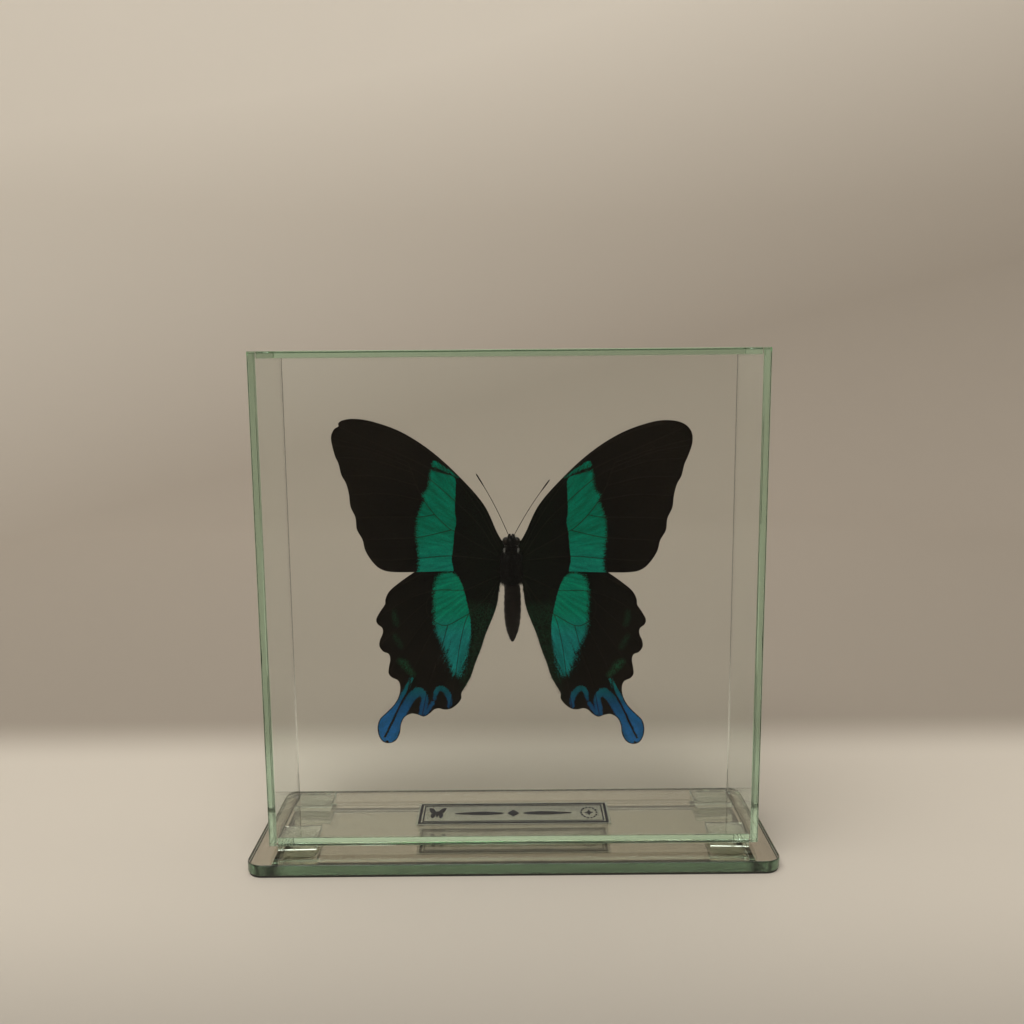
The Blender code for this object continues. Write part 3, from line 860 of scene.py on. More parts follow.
def wing_under():
    """Scales of the underside: dull brown with straw dust, and a row of dull red-brown spots."""
    looks = bpy.context.scene.specimen_wing
    made, tree, surface = material("wing_scales_under")
    vein, spot, reach = stored_on_wing(tree, "vein", "spot", "reach")
    streaks = wing_streaks(tree, 0.3, 3.0, 9.0)
    rows, specks = wing_scales(tree, 0.4)
    # the ground: straw dust on its outer half, and dark veins
    outer = add(tree, "MapRange", {
        "Value": reach, "From Min": 26.0, "From Max": 44.0,
    }, interpolation_type="SMOOTHSTEP")
    dusty = add(tree, "MapRange", {"Value": specks, "From Min": 0.45, "From Max": 0.65, "To Max": 0.55})
    dusty = add(tree, "Math", {0: dusty, 1: outer}, operation="MULTIPLY")
    ground = add(tree, "Mix", {"Factor": streaks, "A": looks.under, "B": looks.under_dark}, data_type="RGBA")
    ground = add(tree, "Mix", {"Factor": dusty, "A": ground, "B": looks.under_dust}, data_type="RGBA")
    vein = add(tree, "MapRange", {
        "Value": vein, "From Min": 0.05, "From Max": 0.35, "To Min": 0.8, "To Max": 0.0,
    })
    ground = add(tree, "Mix", {"Factor": vein, "A": ground, "B": looks.under_vein}, data_type="RGBA")
    # the spots: a dull ring round a straw core, both with a ragged edge
    ragged = add(tree, "Math", {0: spot, 1: specks}, operation="ADD")
    ring = add(tree, "MapRange", {
        "Value": ragged, "From Min": 0.75, "From Max": 0.95,
    }, interpolation_type="SMOOTHSTEP")
    core = add(tree, "MapRange", {
        "Value": ragged, "From Min": 1.15, "From Max": 1.35,
    }, interpolation_type="SMOOTHSTEP")
    colour = add(tree, "Mix", {"Factor": ring, "A": ground, "B": looks.spot}, data_type="RGBA")
    colour = add(tree, "Mix", {"Factor": core, "A": colour, "B": looks.spot_core}, data_type="RGBA")
    bump = add(tree, "Bump", {"Height": rows.outputs["Distance"], "Strength": 0.3, "Distance": 0.04 * MM})
    connect(tree, surface, {
        "Base Color": scale_by_scale(tree, colour, rows), "Roughness": 0.65, "Specular IOR Level": 0.25,
        "Normal": bump,
    })
    return made


def body_chitin(name, colour, grain, roughness):
    """Dry chitin under a coat of fine scales: brown-black, with pits grain mm apart and a dull shine."""
    made, tree, surface = material(name)
    place = add(tree, "TexCoord").outputs["Object"]
    pits = add(tree, "TexVoronoi", {"Vector": place, "Scale": 1 / (grain * MM)})
    cloud = add(tree, "TexNoise", {"Vector": place, "Scale": 1 / (1.2 * MM), "Detail": 4.0})
    shade = add(tree, "Mix", {"Factor": cloud, "A": linear("#0B0807"), "B": colour}, data_type="RGBA")
    bump = add(tree, "Bump", {"Height": pits.outputs["Distance"], "Strength": 0.5, "Distance": 0.04 * MM})
    connect(tree, surface, {
        "Base Color": shade, "Roughness": roughness, "Specular IOR Level": 0.35, "Normal": bump,
    })
    return made


def hair_keratin(name, colour):
    """Fine insect hair: dark, softly shining, each tuft a little different."""
    made, tree, surface = material(name)
    place = add(tree, "TexCoord").outputs["Object"]
    tufts = add(tree, "TexNoise", {"Vector": place, "Scale": 1 / (0.6 * MM), "Detail": 2.0})
    shade = add(tree, "Mix", {"Factor": tufts, "A": linear("#0D0A08"), "B": colour}, data_type="RGBA")
    connect(tree, surface, {"Base Color": shade, "Roughness": 0.5, "Specular IOR Level": 0.3})
    return made


def stage_paper():
    """Matt backdrop paper: pale under the case, turning to warm grey behind it. Painted light makes the wall
    paler higher up and to the left, painted shade makes it darker at its foot, and painted shade darkens it
    before the case.
    """
    looks = bpy.context.scene.specimen_stage
    made, tree, surface = material("backdrop_paper")
    place = add(tree, "TexCoord").outputs["Object"]
    axes = add(tree, "SeparateXYZ", {0: place})
    behind = add(tree, "MapRange", {
        "Value": axes.outputs["Y"], "From Min": 0.06, "From Max": 0.11,
    }, interpolation_type="SMOOTHSTEP")
    # foot carries painted shade: the wall darkens towards the floor
    foot = add(tree, "MapRange", {"Value": axes.outputs["Y"], "From Min": 0.6, "From Max": 0.1})
    # aside and high carry painted light: the wall grows paler with height, and a little more on the left
    aside = add(tree, "Math", {
        0: axes.outputs["X"], 1: -0.26, 2: axes.outputs["Z"],
    }, operation="MULTIPLY_ADD")  # height, and a little more on the left
    high = add(tree, "MapRange", {"Value": aside, "From Min": 0.12, "From Max": 0.58})
    # before carries painted shade: the floor turns darker in front of the case
    before = add(tree, "MapRange", {
        "Value": axes.outputs["Y"], "From Min": -0.03, "From Max": -0.2,
    }, interpolation_type="SMOOTHSTEP")
    wall = add(tree, "Mix", {"Factor": foot, "A": looks.wall, "B": looks.wall_painted_shade}, data_type="RGBA")
    wall = add(tree, "Mix", {"Factor": high, "A": wall, "B": looks.wall_painted_light}, data_type="RGBA")
    colour = add(tree, "Mix", {"Factor": behind, "A": looks.floor, "B": wall}, data_type="RGBA")
    colour = add(tree, "Mix", {"Factor": before, "A": colour, "B": looks.shade}, data_type="RGBA")
    fibres = add(tree, "TexNoise", {"Vector": place, "Scale": 1 / (0.7 * MM), "Detail": 4.0})
    bump = add(tree, "Bump", {"Height": fibres, "Strength": 0.15, "Distance": 0.05 * MM})
    connect(tree, surface, {"Base Color": colour, "Roughness": 0.9, "Normal": bump})
    return made


# ------------------------------------------------------------------------------------ the pieces
def box_piece(name, low, high):
    """A block between two corners, still to be shaped."""
    low, high = Vector(low), Vector(high)
    deselect()
    bpy.ops.mesh.primitive_cube_add(size=1, location=(low + high) / 2, scale=high - low)
    return newest(name)


def is_level(piece):
    """Whether each edge of a block lies level."""
    heights = coordinates(piece)[edge_ends(piece), 2]
    return np.abs(heights[:, 0] - heights[:, 1]) < np.ptp(heights) / 4


def rounded_plate(name, low, high, corner, arris):
    """A block whose upright corners are rounded and whose level edges are ground off."""
    piece = box_piece(name, low, high)
    choose(piece, "EDGE", ~is_level(piece))
    bpy.ops.mesh.bevel(offset=corner, segments=10, affect="EDGES")
    bpy.ops.object.mode_set(mode="OBJECT")
    if arris:
        choose(piece, "EDGE", is_level(piece))
        bpy.ops.mesh.bevel(offset=arris, segments=3, affect="EDGES")
        bpy.ops.object.mode_set(mode="OBJECT")
    smooth(piece, 30)
    level = piece.modifiers.new("level", "WEIGHTED_NORMAL")  # so that the wide faces reflect as flat ones
    level.weight = 100
    level.keep_sharp = True
    apply_all(piece)
    return piece


class SPECIMEN_OT_glass(bpy.types.Operator):
    """Give the panes, the spacers and the glue dot their clear finish"""

    bl_idname = "specimen.glass"
    bl_label = "Glass"

    def execute(self, context):
        pane, spacer = float_glass("float_glass_pane", 0.02), float_glass("float_glass_spacer", 0.1)
        for name, node in frame["nodes"].items():
            if name.startswith("pane_"):
                dress(node, pane)
            elif name.startswith("spacer_"):
                dress(node, spacer)
        dress(frame["nodes"]["glue_dot"], clear_glue("glue_dot_acrylic", 0.1))
        return {"FINISHED"}


class SPECIMEN_OT_mirror(bpy.types.Operator):
    """Model the mirror plate: its glass, the silver beneath it and the painted backing"""

    bl_idname = "specimen.mirror"
    bl_label = "Mirror plate"

    corner: length_setting("Corner", "Radius of the upright corners", 5 * MM)
    arris: length_setting("Arris", "Width of the ground edge", 0.4 * MM)
    backing: length_setting("Backing", "Thickness of the painted backing", 0.6 * MM)
    silver: length_setting("Silver", "Thickness of the silver film", 0.05 * MM)

    def execute(self, context):
        low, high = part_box("mirror_base")
        inset = self.arris
        gap = 0.01 * MM  # so that two layers don't share a face
        silver_low = low.z + self.backing + gap
        glass_low = silver_low + self.silver + gap
        glass = rounded_plate("mirror_glass", (low.x, low.y, glass_low), high, self.corner, self.arris)
        finish(glass, "base_mirror", ground_edge_glass(), stands_for=["mirror_base"])
        layers = {
            "mirror_backing": (backing_paint(), low.z, self.backing),
            "mirror_silvering": (mirror_silver(), silver_low, self.silver),
        }
        for name, (made, bottom, thickness) in layers.items():
            layer = rounded_plate(
                name,
                (low.x + inset, low.y + inset, bottom),
                (high.x - inset, high.y - inset, bottom + thickness),
                self.corner - inset,
                0,
            )
            finish(layer, "base_mirror", made, stands_for=["mirror_base"])
        return {"FINISHED"}


class SPECIMEN_OT_glue(bpy.types.Operator):
    """Press a film of glue above and below each spacer"""

    bl_idname = "specimen.glue"
    bl_label = "Glue films"

    clearance: length_setting("Clearance", "Between a film and the glass", 0.02 * MM)

    def execute(self, context):
        acrylic = clear_glue("glue_film_acrylic", 0.6)
        base_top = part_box("mirror_base")[1].z
        case_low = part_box("pane_front")[0].z
        for place, end in enumerate(("front", "rear")):
            for side, out in SIDES.items():
                low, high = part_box(f"spacer_{end}_{side}")
                middle = (low + high) / 2 / MM
                half = (high.x - low.x) / 2 / MM
                layers = {"below": (base_top, low.z), "above": (high.z, case_low)}
                for number, (layer, (bottom, top)) in enumerate(layers.items()):
                    chance = np.random.default_rng(40 + 4 * place + 2 * number + (out > 0))
                    outline = self.pressed(middle, half, chance)
                    name = f"glue_{end}_{side}_{layer}"
                    film = plate(name, outline, bottom + self.clearance, top - self.clearance)
                    smooth(film, 50)
                    finish(film, "clear_glue", acrylic)
        return {"FINISHED"}

    def pressed(self, middle, half, chance):
        """The outline of a drop pressed flat: nearly the spacer's square, with a wavy edge, mm."""
        steps = 72
        roundness = 5  # 2 would be a circle, and more comes nearer to a square
        ripples = chance.uniform(-1, 1, (4, 2)) * [[0.05], [0.07], [0.05], [0.04]]
        outline = []
        for k in range(steps):
            around = 2 * pi * k / steps
            square = 0.82 / (abs(cos(around)) ** roundness + abs(sin(around)) ** roundness) ** (1 / roundness)
            for wave, (a, b) in enumerate(ripples, 2):
                square *= 1 + a * cos(wave * around) + b * sin(wave * around)
            reach = half * min(square, 1.0)
            outline.append((middle.x + reach * cos(around), middle.y + reach * sin(around)))
        return outline


class SPECIMEN_OT_label(bpy.types.Operator):
    """Print the clear label: a double border, a small butterfly, a ring of dots and a plain rule"""

    bl_idname = "specimen.label"
    bl_label = "Label"

    relief: length_setting("Relief", "How far the print stands out of the film, above and below", 0.03 * MM)

    def execute(self, context):
        dress(frame["nodes"]["label"], label_film())
        ink = label_ink()
        low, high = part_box("label")
        middle = (low + high) / 2 / MM
        heights = (low.z - self.relief, high.z + self.relief)
        half_width, half_depth = (high.x - low.x) / 2 / MM, (high.y - low.y) / 2 / MM
        prints = [
            self.border("border_outer", middle, half_width - 0.8, half_depth - 0.8, 0.8, heights),
            self.border("border_inner", middle, half_width - 2.1, half_depth - 2.1, 0.38, heights),
            self.small_butterfly(middle.x - 24.6, middle.y, heights),
            self.ring_of_dots(middle.x + 24.4, middle.y, heights),
            self.rule(middle.x, middle.y, heights),
        ]
        for printed in prints:
            finish(printed, "label_film", ink)
        return {"FINISHED"}

    def border(self, name, middle, half_width, half_depth, line, heights):
        """A printed frame: a plane inset by the line's width, its middle taken out, then raised."""
        bottom, top = heights
        deselect()
        bpy.ops.mesh.primitive_plane_add(size=2 * MM, location=(middle.x * MM, middle.y * MM, bottom))
        piece = newest(name)
        corners = np.sign(coordinates(piece)[:, :2] - [middle.x * MM, middle.y * MM])
        places = [(middle.x + x * half_width, middle.y + y * half_depth, bottom / MM) for x, y in corners]
        set_coordinates(piece, np.array(places) * MM)
        bpy.ops.object.mode_set(mode="EDIT")
        bpy.ops.mesh.select_all(action="SELECT")
        bpy.ops.mesh.inset(thickness=line * MM)
        bpy.ops.mesh.delete(type="FACE")
        bpy.ops.object.mode_set(mode="OBJECT")
        raise_up(piece, top - bottom)
        return piece

    def small_butterfly(self, x, y, heights):
        """A plain butterfly shape about 5 mm across, its right half drawn and mirrored."""
        half = [
            (0.0, 1.1), (0.25, 1.0), (0.35, 0.8), (1.0, 1.9), (1.9, 2.6), (2.7, 2.5), (2.6, 1.5), (2.1, 0.5),
            (1.6, 0.1), (2.0, -0.5), (1.9, -1.4), (1.3, -2.1), (0.8, -1.6), (0.4, -0.5), (0.2, -1.6),
        ]
        whole = half + [(-across, up) for across, up in reversed(half[1:])]
        line = curve_through(whole, 4, True)
        return plate("printed_butterfly", line * [1, 1.5] + [x, y], *heights)

    def ring_of_dots(self, x, y, heights):
        """Fourteen dots round a small four-pointed star."""
        dots, corners = 14, 10
        parts = []
        for k in range(dots):
            around = 2 * pi * k / dots
            place = np.array([x + 2.5 * cos(around), y + 3.7 * sin(around)])
            turns = [2 * pi * j / corners for j in range(corners)]
            dot = [place + (0.36 * cos(turn), 0.5 * sin(turn)) for turn in turns]
            parts.append(plate("dot", dot, *heights))
        star = [
            (1.5, 0), (0.45, 0.6), (0, 2.1), (-0.45, 0.6), (-1.5, 0), (-0.45, -0.6), (0, -2.1), (0.45, -0.6),
        ]
        parts.append(plate("star", [(x + across, y + up) for across, up in star], *heights))
        return join("printed_ring", parts)

    def rule(self, x, y, heights):
        """Two tapered dashes either side of a lozenge."""
        lozenge = [(x + 1.9, y), (x, y + 2.4), (x - 1.9, y), (x, y - 2.4)]
        parts = [plate("lozenge", lozenge, *heights)]
        steps, start, length = 16, 3.2, 15.6
        for out in SIDES.values():
            half = []
            for k in range(steps + 1):
                share = k / steps
                thick = 0.2 + 1.25 * sin(pi * share) ** 0.8 * (1 - 0.55 * share)
                half.append((x + out * (start + length * share), thick))
            outline = [(across, y + up) for across, up in half]
            outline += [(across, y - up) for across, up in reversed(half)]
            parts.append(plate("dash", outline, *heights))
        return join("printed_rule", parts)


class SPECIMEN_OT_wings(bpy.types.Operator):
    """Model the four wings, with their veins, folds and markings"""

    bl_idname = "specimen.wings"
    bl_label = "Wings"

    cell: length_setting("Cell", "Side of one face of the mesh", WING_CELL * MM)

    def execute(self, context):
        upper, under = wing_upper(), wing_under()
        for side, out in SIDES.items():
            outline = list(FOREWING)
            if side == "left":
                outline[CHIP_FROM:CHIP_TO] = FOREWING_CHIP
            for kind, shape, level in (("forewing", outline, FOREWING_Y), ("hindwing", HINDWING, HINDWING_Y)):
                piece = self.membrane(f"{kind}_{side}_scaled", kind, shape, out, level)
                finish(piece, "wing_scales", upper, under, stands_for=[f"{kind}_{side}"])
        return {"FINISHED"}

    def membrane(self, name, kind, outline, out, level):
        """A fine grid cut to the wing's outline, drawn onto it at the rim, folded and thickened."""
        line = curve_through(outline, 8, True)
        low, high = line.min(axis=0), line.max(axis=0)
        size, middle = high - low, (high + low) / 2
        cell = self.cell / MM
        deselect()
        bpy.ops.mesh.primitive_grid_add(
            x_subdivisions=int(size[0] / cell),
            y_subdivisions=int(size[1] / cell),
            size=1,
            location=(out * middle[0] * MM, level * MM, (WING_LEVEL + middle[1]) * MM),
            rotation=(pi / 2, 0, 0),
        )
        piece = bpy.context.active_object
        piece.scale = (size[0] * MM, size[1] * MM, 1)
        piece = newest(name)
        self.trim(piece, line, out)
        flat = self.flat(piece, out)
        veins, folds = VEINS[kind], FOLDS[kind]
        flat = self.settle(piece, flat, veins, out, cell)
        self.measure(piece, kind, flat, line, veins)
        self.relief(piece, flat, line, veins, folds, out)
        thick = piece.modifiers.new("membrane", "SOLIDIFY")
        thick.thickness = MEMBRANE * MM
        thick.offset = 0
        thick.material_offset = thick.material_offset_rim = 1
        piece.data.materials.append(None)
        piece.data.materials.append(None)
        apply_all(piece)
        smooth(piece, 60)
        return hang(piece)

    def flat(self, piece, out):
        """Each vertex's two measures: out from the axis, and up from WING_LEVEL, mm."""
        places = coordinates(piece) / MM
        return np.column_stack([places[:, 0] * out, places[:, 2] - WING_LEVEL])

    def write(self, piece, flat, out):
        """Moves each vertex to its two measures."""
        places = coordinates(piece)
        places[:, 0], places[:, 2] = flat[:, 0] * out * MM, (flat[:, 1] + WING_LEVEL) * MM
        set_coordinates(piece, places)

    def trim(self, piece, line, out):
        """Deletes the faces outside the outline and draws the rim's vertices onto it."""
        middles = np.empty(len(piece.data.polygons) * 3)
        piece.data.polygons.foreach_get("center", middles)
        middles = middles.reshape(-1, 3) / MM
        outside = ~inside(np.column_stack([middles[:, 0] * out, middles[:, 2] - WING_LEVEL]), line)
        choose(piece, "FACE", outside)
        bpy.ops.mesh.delete(type="FACE")
        bpy.ops.object.mode_set(mode="OBJECT")
        rim = self.rim(piece)
        flat = self.flat(piece, out)
        flat[rim] = nearest(flat[rim], line, True)[1]
        self.write(piece, flat, out)
        near = nearest(flat, line, True)[0] < 0.8
        near[rim] = False
        choose(piece, "VERT", near)
        bpy.ops.mesh.vertices_smooth(factor=0.5, repeat=4)
        bpy.ops.object.mode_set(mode="OBJECT")

    def rim(self, piece):
        """The vertices of the edges that have only one face."""
        mesh = piece.data
        sides = np.empty(len(mesh.loops), int)
        mesh.loops.foreach_get("edge_index", sides)
        faces_beside = np.bincount(sides, minlength=len(mesh.edges))
        return np.unique(edge_ends(piece)[faces_beside == 1])

    def settle(self, piece, flat, veins, out, cell):
        """Moves the vertices next to a vein onto it, so that the vein is drawn without gaps."""
        fixed = np.zeros(len(flat), bool)
        fixed[self.rim(piece)] = True
        for vein in veins:
            distance, place, _ = nearest(flat, curve_through(vein, 8, False))
            moved = (distance < 0.42 * cell) & ~fixed
            flat[moved] = place[moved]
            fixed |= moved
        self.write(piece, flat, out)
        return flat

    def measure(self, piece, kind, flat, line, veins):
        """Stores what the scales' materials need: lengths in mm, and shares from 0 to 1."""
        away, height = flat.T
        veins_away = np.full(len(flat), 9.0)
        for vein in veins:
            veins_away = np.minimum(veins_away, nearest(flat, curve_through(vein, 8, False))[0])
        spot = np.zeros(len(flat))
        for x, y in UNDER_SPOTS[kind]:
            spot = np.maximum(spot, 1.15 - np.hypot((away - x) / 2.6, (height - y) / 2.3))
        root_out, root_up = WING_ROOTS[kind]
        measures = self.upper_marks(kind, flat, line)
        measures["vein"] = veins_away
        measures["spot"] = np.clip(spot, 0, 1.2)
        measures["ray"] = np.arctan2(height - root_up, away - root_out) * 30  # an arc 30 mm out
        measures["reach"] = np.hypot(height - root_up, away - root_out)
        for name, values in measures.items():
            stored = piece.data.attributes.new(name, "FLOAT", "POINT")
            stored.data.foreach_set("value", values.astype(np.float32))

    def upper_marks(self, kind, flat, line):
        """The upper side's cover of shining scales, their hue and glow, and the dust on the ground."""
        away, height = flat.T
        band = curve_through(BANDS[kind], 6, True)
        deep = nearest(flat, band, True)[0] * np.where(inside(flat, band), 1, -1)
        outer = step_up(away, 20, 25)  # the band's outer edge is softer than its inner one
        dust = 0.07 * step_up(-away, -24, -8) + 0.03
        if kind == "forewing":
            soft = 0.5 + 2.0 * outer
            hue = 0.18 * step_up(-height, -14, 0)
            glow = 0.71 + 0.25 * step_up(-height, -16, -3)
            cover = 0.5 + deep / soft
            cover = np.maximum(cover, np.minimum(self.stroke(flat, FOREWING_STREAK, 1.2), 0.56))
        else:
            soft = 0.6 + 2.6 * outer + 4.2 * step_up(-height, 19, 34) + 1.2 * step_up(height, -5, -1)
            hue = 0.5 * step_up(-height, 13, 24) + 0.5 * step_up(-height, 37, 47)
            glow = np.where(height > -36, 0.97, 0.52 + 0.52 * step_up(away, 32, 42))
            cover = 0.5 + deep / soft
            for stroke in TAIL_STROKES:
                cover = np.maximum(cover, self.stroke(flat, stroke, 1.0))
            cover = np.minimum(cover, 1 - self.stroke(flat, TAIL_VEIN, 0.6))
            for gap in HINDWING_GAPS:
                cover = np.minimum(cover, 1.1 - self.stroke(flat, gap, 1.7))
            cover = np.minimum(cover, nearest(flat, line, True)[0] / 0.6)  # a dark rim all round
            for stroke, strength in CRESCENTS:
                dust = np.maximum(dust, strength * 1.6 * np.clip(self.stroke(flat, stroke, 2.2), 0, 1))
            dust = np.maximum(dust, 0.45 * step_up(-away, -19, -13) * step_up(-height, 8, 14))
        return {"cover": np.clip(cover, -1, 2), "hue": hue, "glow": glow, "dust": dust}

    def stroke(self, flat, stroke, soft):
        """How far inside a stroke of changing width each point is: 0.5 on its edge."""
        path = curve_through(stroke, 6, False)
        distance, _, part = nearest(flat, path)
        width = np.interp(part, range(len(path)), path[:, 2])
        return 0.5 + (width - distance) / soft

    def relief(self, piece, flat, line, veins, folds, out):
        """Raises the veins, sinks the folds, and waves the whole wing as it dried, all in mm."""
        away, height = flat.T
        raised = np.zeros(len(flat))
        for vein in veins:
            distance, _, part = nearest(flat, curve_through(vein, 8, False))
            thick = np.interp(part, (0, 8 * len(vein)), (1.0, 0.55))
            raised = np.maximum(raised, 0.09 * thick * np.exp(-((distance / (0.3 * thick)) ** 2)))
        sunk = np.zeros(len(flat))
        for fold in folds:
            distance = nearest(flat, curve_through(fold, 8, False))[0]
            sunk = np.maximum(sunk, 0.07 * np.exp(-((distance / 0.35) ** 2)))
        ray = np.arctan2(height - 3, away - 2)
        reach = np.hypot(height - 3, away - 2)
        wave = 0.12 * np.sin(ray * 13 + 0.8) * step_up(reach, 8, 40)
        wave += 0.22 * np.sin(away * 0.16 + height * 0.07 + out) * step_up(reach, 6, 30)
        places = coordinates(piece)
        places[:, 1] += (wave + sunk - raised) * MM
        set_coordinates(piece, places)


class SPECIMEN_OT_body(bpy.types.Operator):
    """Model the thorax, the head with its eyes, palps and tongue, and the abdomen"""

    bl_idname = "specimen.body"
    bl_label = "Body"

    def execute(self, context):
        looks = context.scene.specimen_body
        chitin = body_chitin("body_chitin", looks.chitin, 0.16, 0.55)
        eye = body_chitin("eye_facets", looks.eye, 0.09, 0.28)
        thorax = grown_together("thorax_shell", THORAX_SWELLINGS, 0.16)
        finish(hang(thorax), "body_chitin", chitin, stands_for=["thorax"])
        head = grown_together("head_capsule", HEAD_SWELLINGS, 0.12)
        finish(hang(head), "body_chitin", chitin, stands_for=["head"])
        for side, out in SIDES.items():
            finish(hang(self.eye(side, out)), "body_chitin", eye)
            finish(hang(self.palp(side, out)), "body_chitin", chitin)
        finish(hang(self.tongue()), "body_chitin", chitin)
        rings = body_chitin("abdomen_chitin", looks.abdomen, 0.2, 0.5)
        finish(hang(self.abdomen()), "body_chitin", rings, stands_for=["abdomen"])
        return {"FINISHED"}

    def eye(self, side, out):
        """A compound eye: a ball a little flatter than it is tall."""
        deselect()
        bpy.ops.mesh.primitive_ico_sphere_add(
            subdivisions=5,
            radius=1.4 * MM,
            location=(out * 1.76 * MM, 11.15 * MM, 95.3 * MM),
            scale=(0.86, 1, 1.05),
        )
        ball = newest(f"eye_{side}")
        smooth(ball, 80)
        return ball

    def palp(self, side, out):
        """A palp, which curls up before the face."""
        run = [
            (out * 0.55, 12.6, 95.6, 0.34),
            (out * 0.62, 12.9, 96.6, 0.42),
            (out * 0.55, 12.3, 97.3, 0.36),
            (out * 0.4, 11.7, 97.6, 0.16),
        ]
        return thread(f"palp_{side}", curve_through(run, 5, False), 12)

    def tongue(self):
        """The tongue, coiled up like a watch spring under the head."""
        steps = 89
        half_turns = 5.4
        points = []
        for step in range(steps + 1):
            share = step / steps
            around = half_turns * pi * share
            reach = 1.25 - 0.95 * share
            place = (0, 13.35 + 0.75 * reach * cos(around), 94.9 + reach * sin(around))
            points.append((*place, 0.15 - 0.07 * share))
        return thread("tongue", points, 10)

    def abdomen(self):
        """Eight overlapping rings that narrow to a blunt point."""
        profile = curve_through(ABDOMEN_PROFILE, 16, False)
        steps, segments = 112, 8
        place = (ABDOMEN_ASIDE * MM, ABDOMEN_Y * MM, ABDOMEN_TOP * MM)
        deselect()
        bpy.ops.mesh.primitive_circle_add(vertices=40, radius=MM, fill_type="NGON", location=place)
        piece = newest("abdomen_rings")
        bpy.ops.object.mode_set(mode="EDIT")
        bpy.ops.mesh.select_all(action="SELECT")
        before_height, before_radius = 0.0, 1.0
        for step in range(steps + 1):
            share = step / steps
            ring = np.array((share * segments) % 1)
            lap = 0.045 * step_up(ring, 0.0, 0.75) - 0.075 * step_up(ring, 0.86, 1.0)
            radius = float(np.interp(share, profile[:, 0], profile[:, 1]) * (1 + lap))
            height = -share * ABDOMEN_LENGTH
            if step:
                down = (0, 0, (height - before_height) * MM)
                bpy.ops.mesh.extrude_region_move(TRANSFORM_OT_translate={"value": down})
            ratio = radius / before_radius
            middle = (*place[:2], (ABDOMEN_TOP + height) * MM)
            bpy.ops.transform.resize(value=(ratio, ratio, 1), center_override=middle)
            before_height, before_radius = height, radius
        bpy.ops.mesh.select_all(action="SELECT")
        bpy.ops.mesh.normals_make_consistent(inside=False)
        bpy.ops.object.mode_set(mode="OBJECT")
        renumber(piece)
        smooth(piece, 60)
        return piece


class SPECIMEN_OT_feelers(bpy.types.Operator):
    """Model the two antennae"""

    bl_idname = "specimen.feelers"
    bl_label = "Antennae"

    def execute(self, context):
        chitin = body_chitin("antenna_chitin", context.scene.specimen_body.chitin, 0.1, 0.45)
        for side, out in SIDES.items():
            feeler = thread(f"antenna_{side}_thread", self.run(side, out), 10)
            finish(hang(feeler), "body_chitin", chitin, stands_for=[f"antenna_{side}"])
        return {"FINISHED"}

    def run(self, side, out):
        """A ringed thread, bowed a little, that swells to a slim club at its end."""
        steps, rings = 180, 45
        club = 0.78  # the share of the length at which it begins
        start = np.array(FEELER_ROOT) * [out, 1, 1]
        end = np.array(FEELER_TIPS[side])
        bow = np.array([-out * 0.5, -0.5, 0.2])
        # the root, sunk in the head
        points = [(*(start - [0, -0.3, 0.9]), 0.26), (*(start - [0, -0.1, 0.3]), 0.27)]
        for step in range(steps + 1):
            share = step / steps
            ring = 1 + 0.14 * cos(2 * pi * share * rings)
            swell = sin(pi * min(1.0, (share - club) / 0.26)) if share > club else 0.0
            tip = 1.0 if step < steps - 1 else 0.5
            radius = (0.105 + 0.13 * max(0.0, swell)) * ring * tip
            points.append((*(start + (end - start) * share + bow * sin(pi * share)), radius))
        return points


class SPECIMEN_OT_legs(bpy.types.Operator):
    """Model the six folded legs, with their joints, spurs and claws"""

    bl_idname = "specimen.legs"
    bl_label = "Legs"

    def execute(self, context):
        chitin = body_chitin("leg_chitin", context.scene.specimen_body.chitin, 0.12, 0.5)
        for pair, (name, (knee, drop)) in enumerate(KNEES.items()):
            hip = HIP_TOP - HIP_STEP * pair
            for side, out in SIDES.items():
                limb = self.limb(f"leg_{name}_{side}_limb", out, knee, hip, hip - drop)
                finish(hang(limb), "body_chitin", chitin, stands_for=[f"leg_{name}_{side}"])
        return {"FINISHED"}

    def limb(self, name, out, knee, hip, top):
        """One leg: knee is how far out its knee lies, and top is the height of the shin's upper end."""
        ankle = top - 7.2
        foot, joints, steps = 3.0, 5, 24
        run = [
            (1.6, -0.6, hip + 0.2, 0.36), (2.0, -0.1, hip, 0.34),
            (knee / 2 + 0.9, 0.1, (hip + top) / 2, 0.32), (knee - 0.25, 0.1, top - 0.1, 0.24),
            (knee, 0.05, top - 0.7, 0.22), (knee + 0.15, 0, top - 3.1, 0.24), (knee + 0.1, 0, top - 6.0, 0.2),
            (knee, 0, top - 6.5, 0.14), (knee - 0.1, 0, ankle, 0.13),
        ]
        points = [tuple(point) for point in curve_through(run, 6, False)]
        for k in range(1, steps + 1):  # the foot's short joints, each wider at its end
            share = k / steps
            radius = 0.095 + 0.05 * ((share * joints) % 1)
            points.append((knee - 0.1 - 0.3 * share, 0, ankle - foot * share, radius))
        parts = [thread("limb", [(out * x, LEG_Y + y, z, radius) for x, y, z, radius in points], 10)]
        for k in range(7):  # pairs of spurs down the shin
            x, z = out * (knee + 0.12), top - 1.8 - 0.6 * k
            for turn in (-1, 1):
                parts.append(thread("spur", [
                    (x, LEG_Y + 0.1 * turn, z, 0.05),
                    (x + out * 0.25, LEG_Y + 0.3 * turn, z - 0.35, 0.035),
                    (x + out * 0.3, LEG_Y + 0.4 * turn, z - 0.6, 0.008),
                ], 6))
        x, z = out * (knee - 0.4), ankle - foot + 0.05
        for turn in (-1, 1):  # two claws
            parts.append(thread("claw", [
                (x, LEG_Y, z, 0.07),
                (x + 0.16 * turn, LEG_Y, z - 0.25, 0.05),
                (x + 0.12 * turn, LEG_Y + 0.12, z - 0.42, 0.01),
            ], 6))
        return join(name, parts)


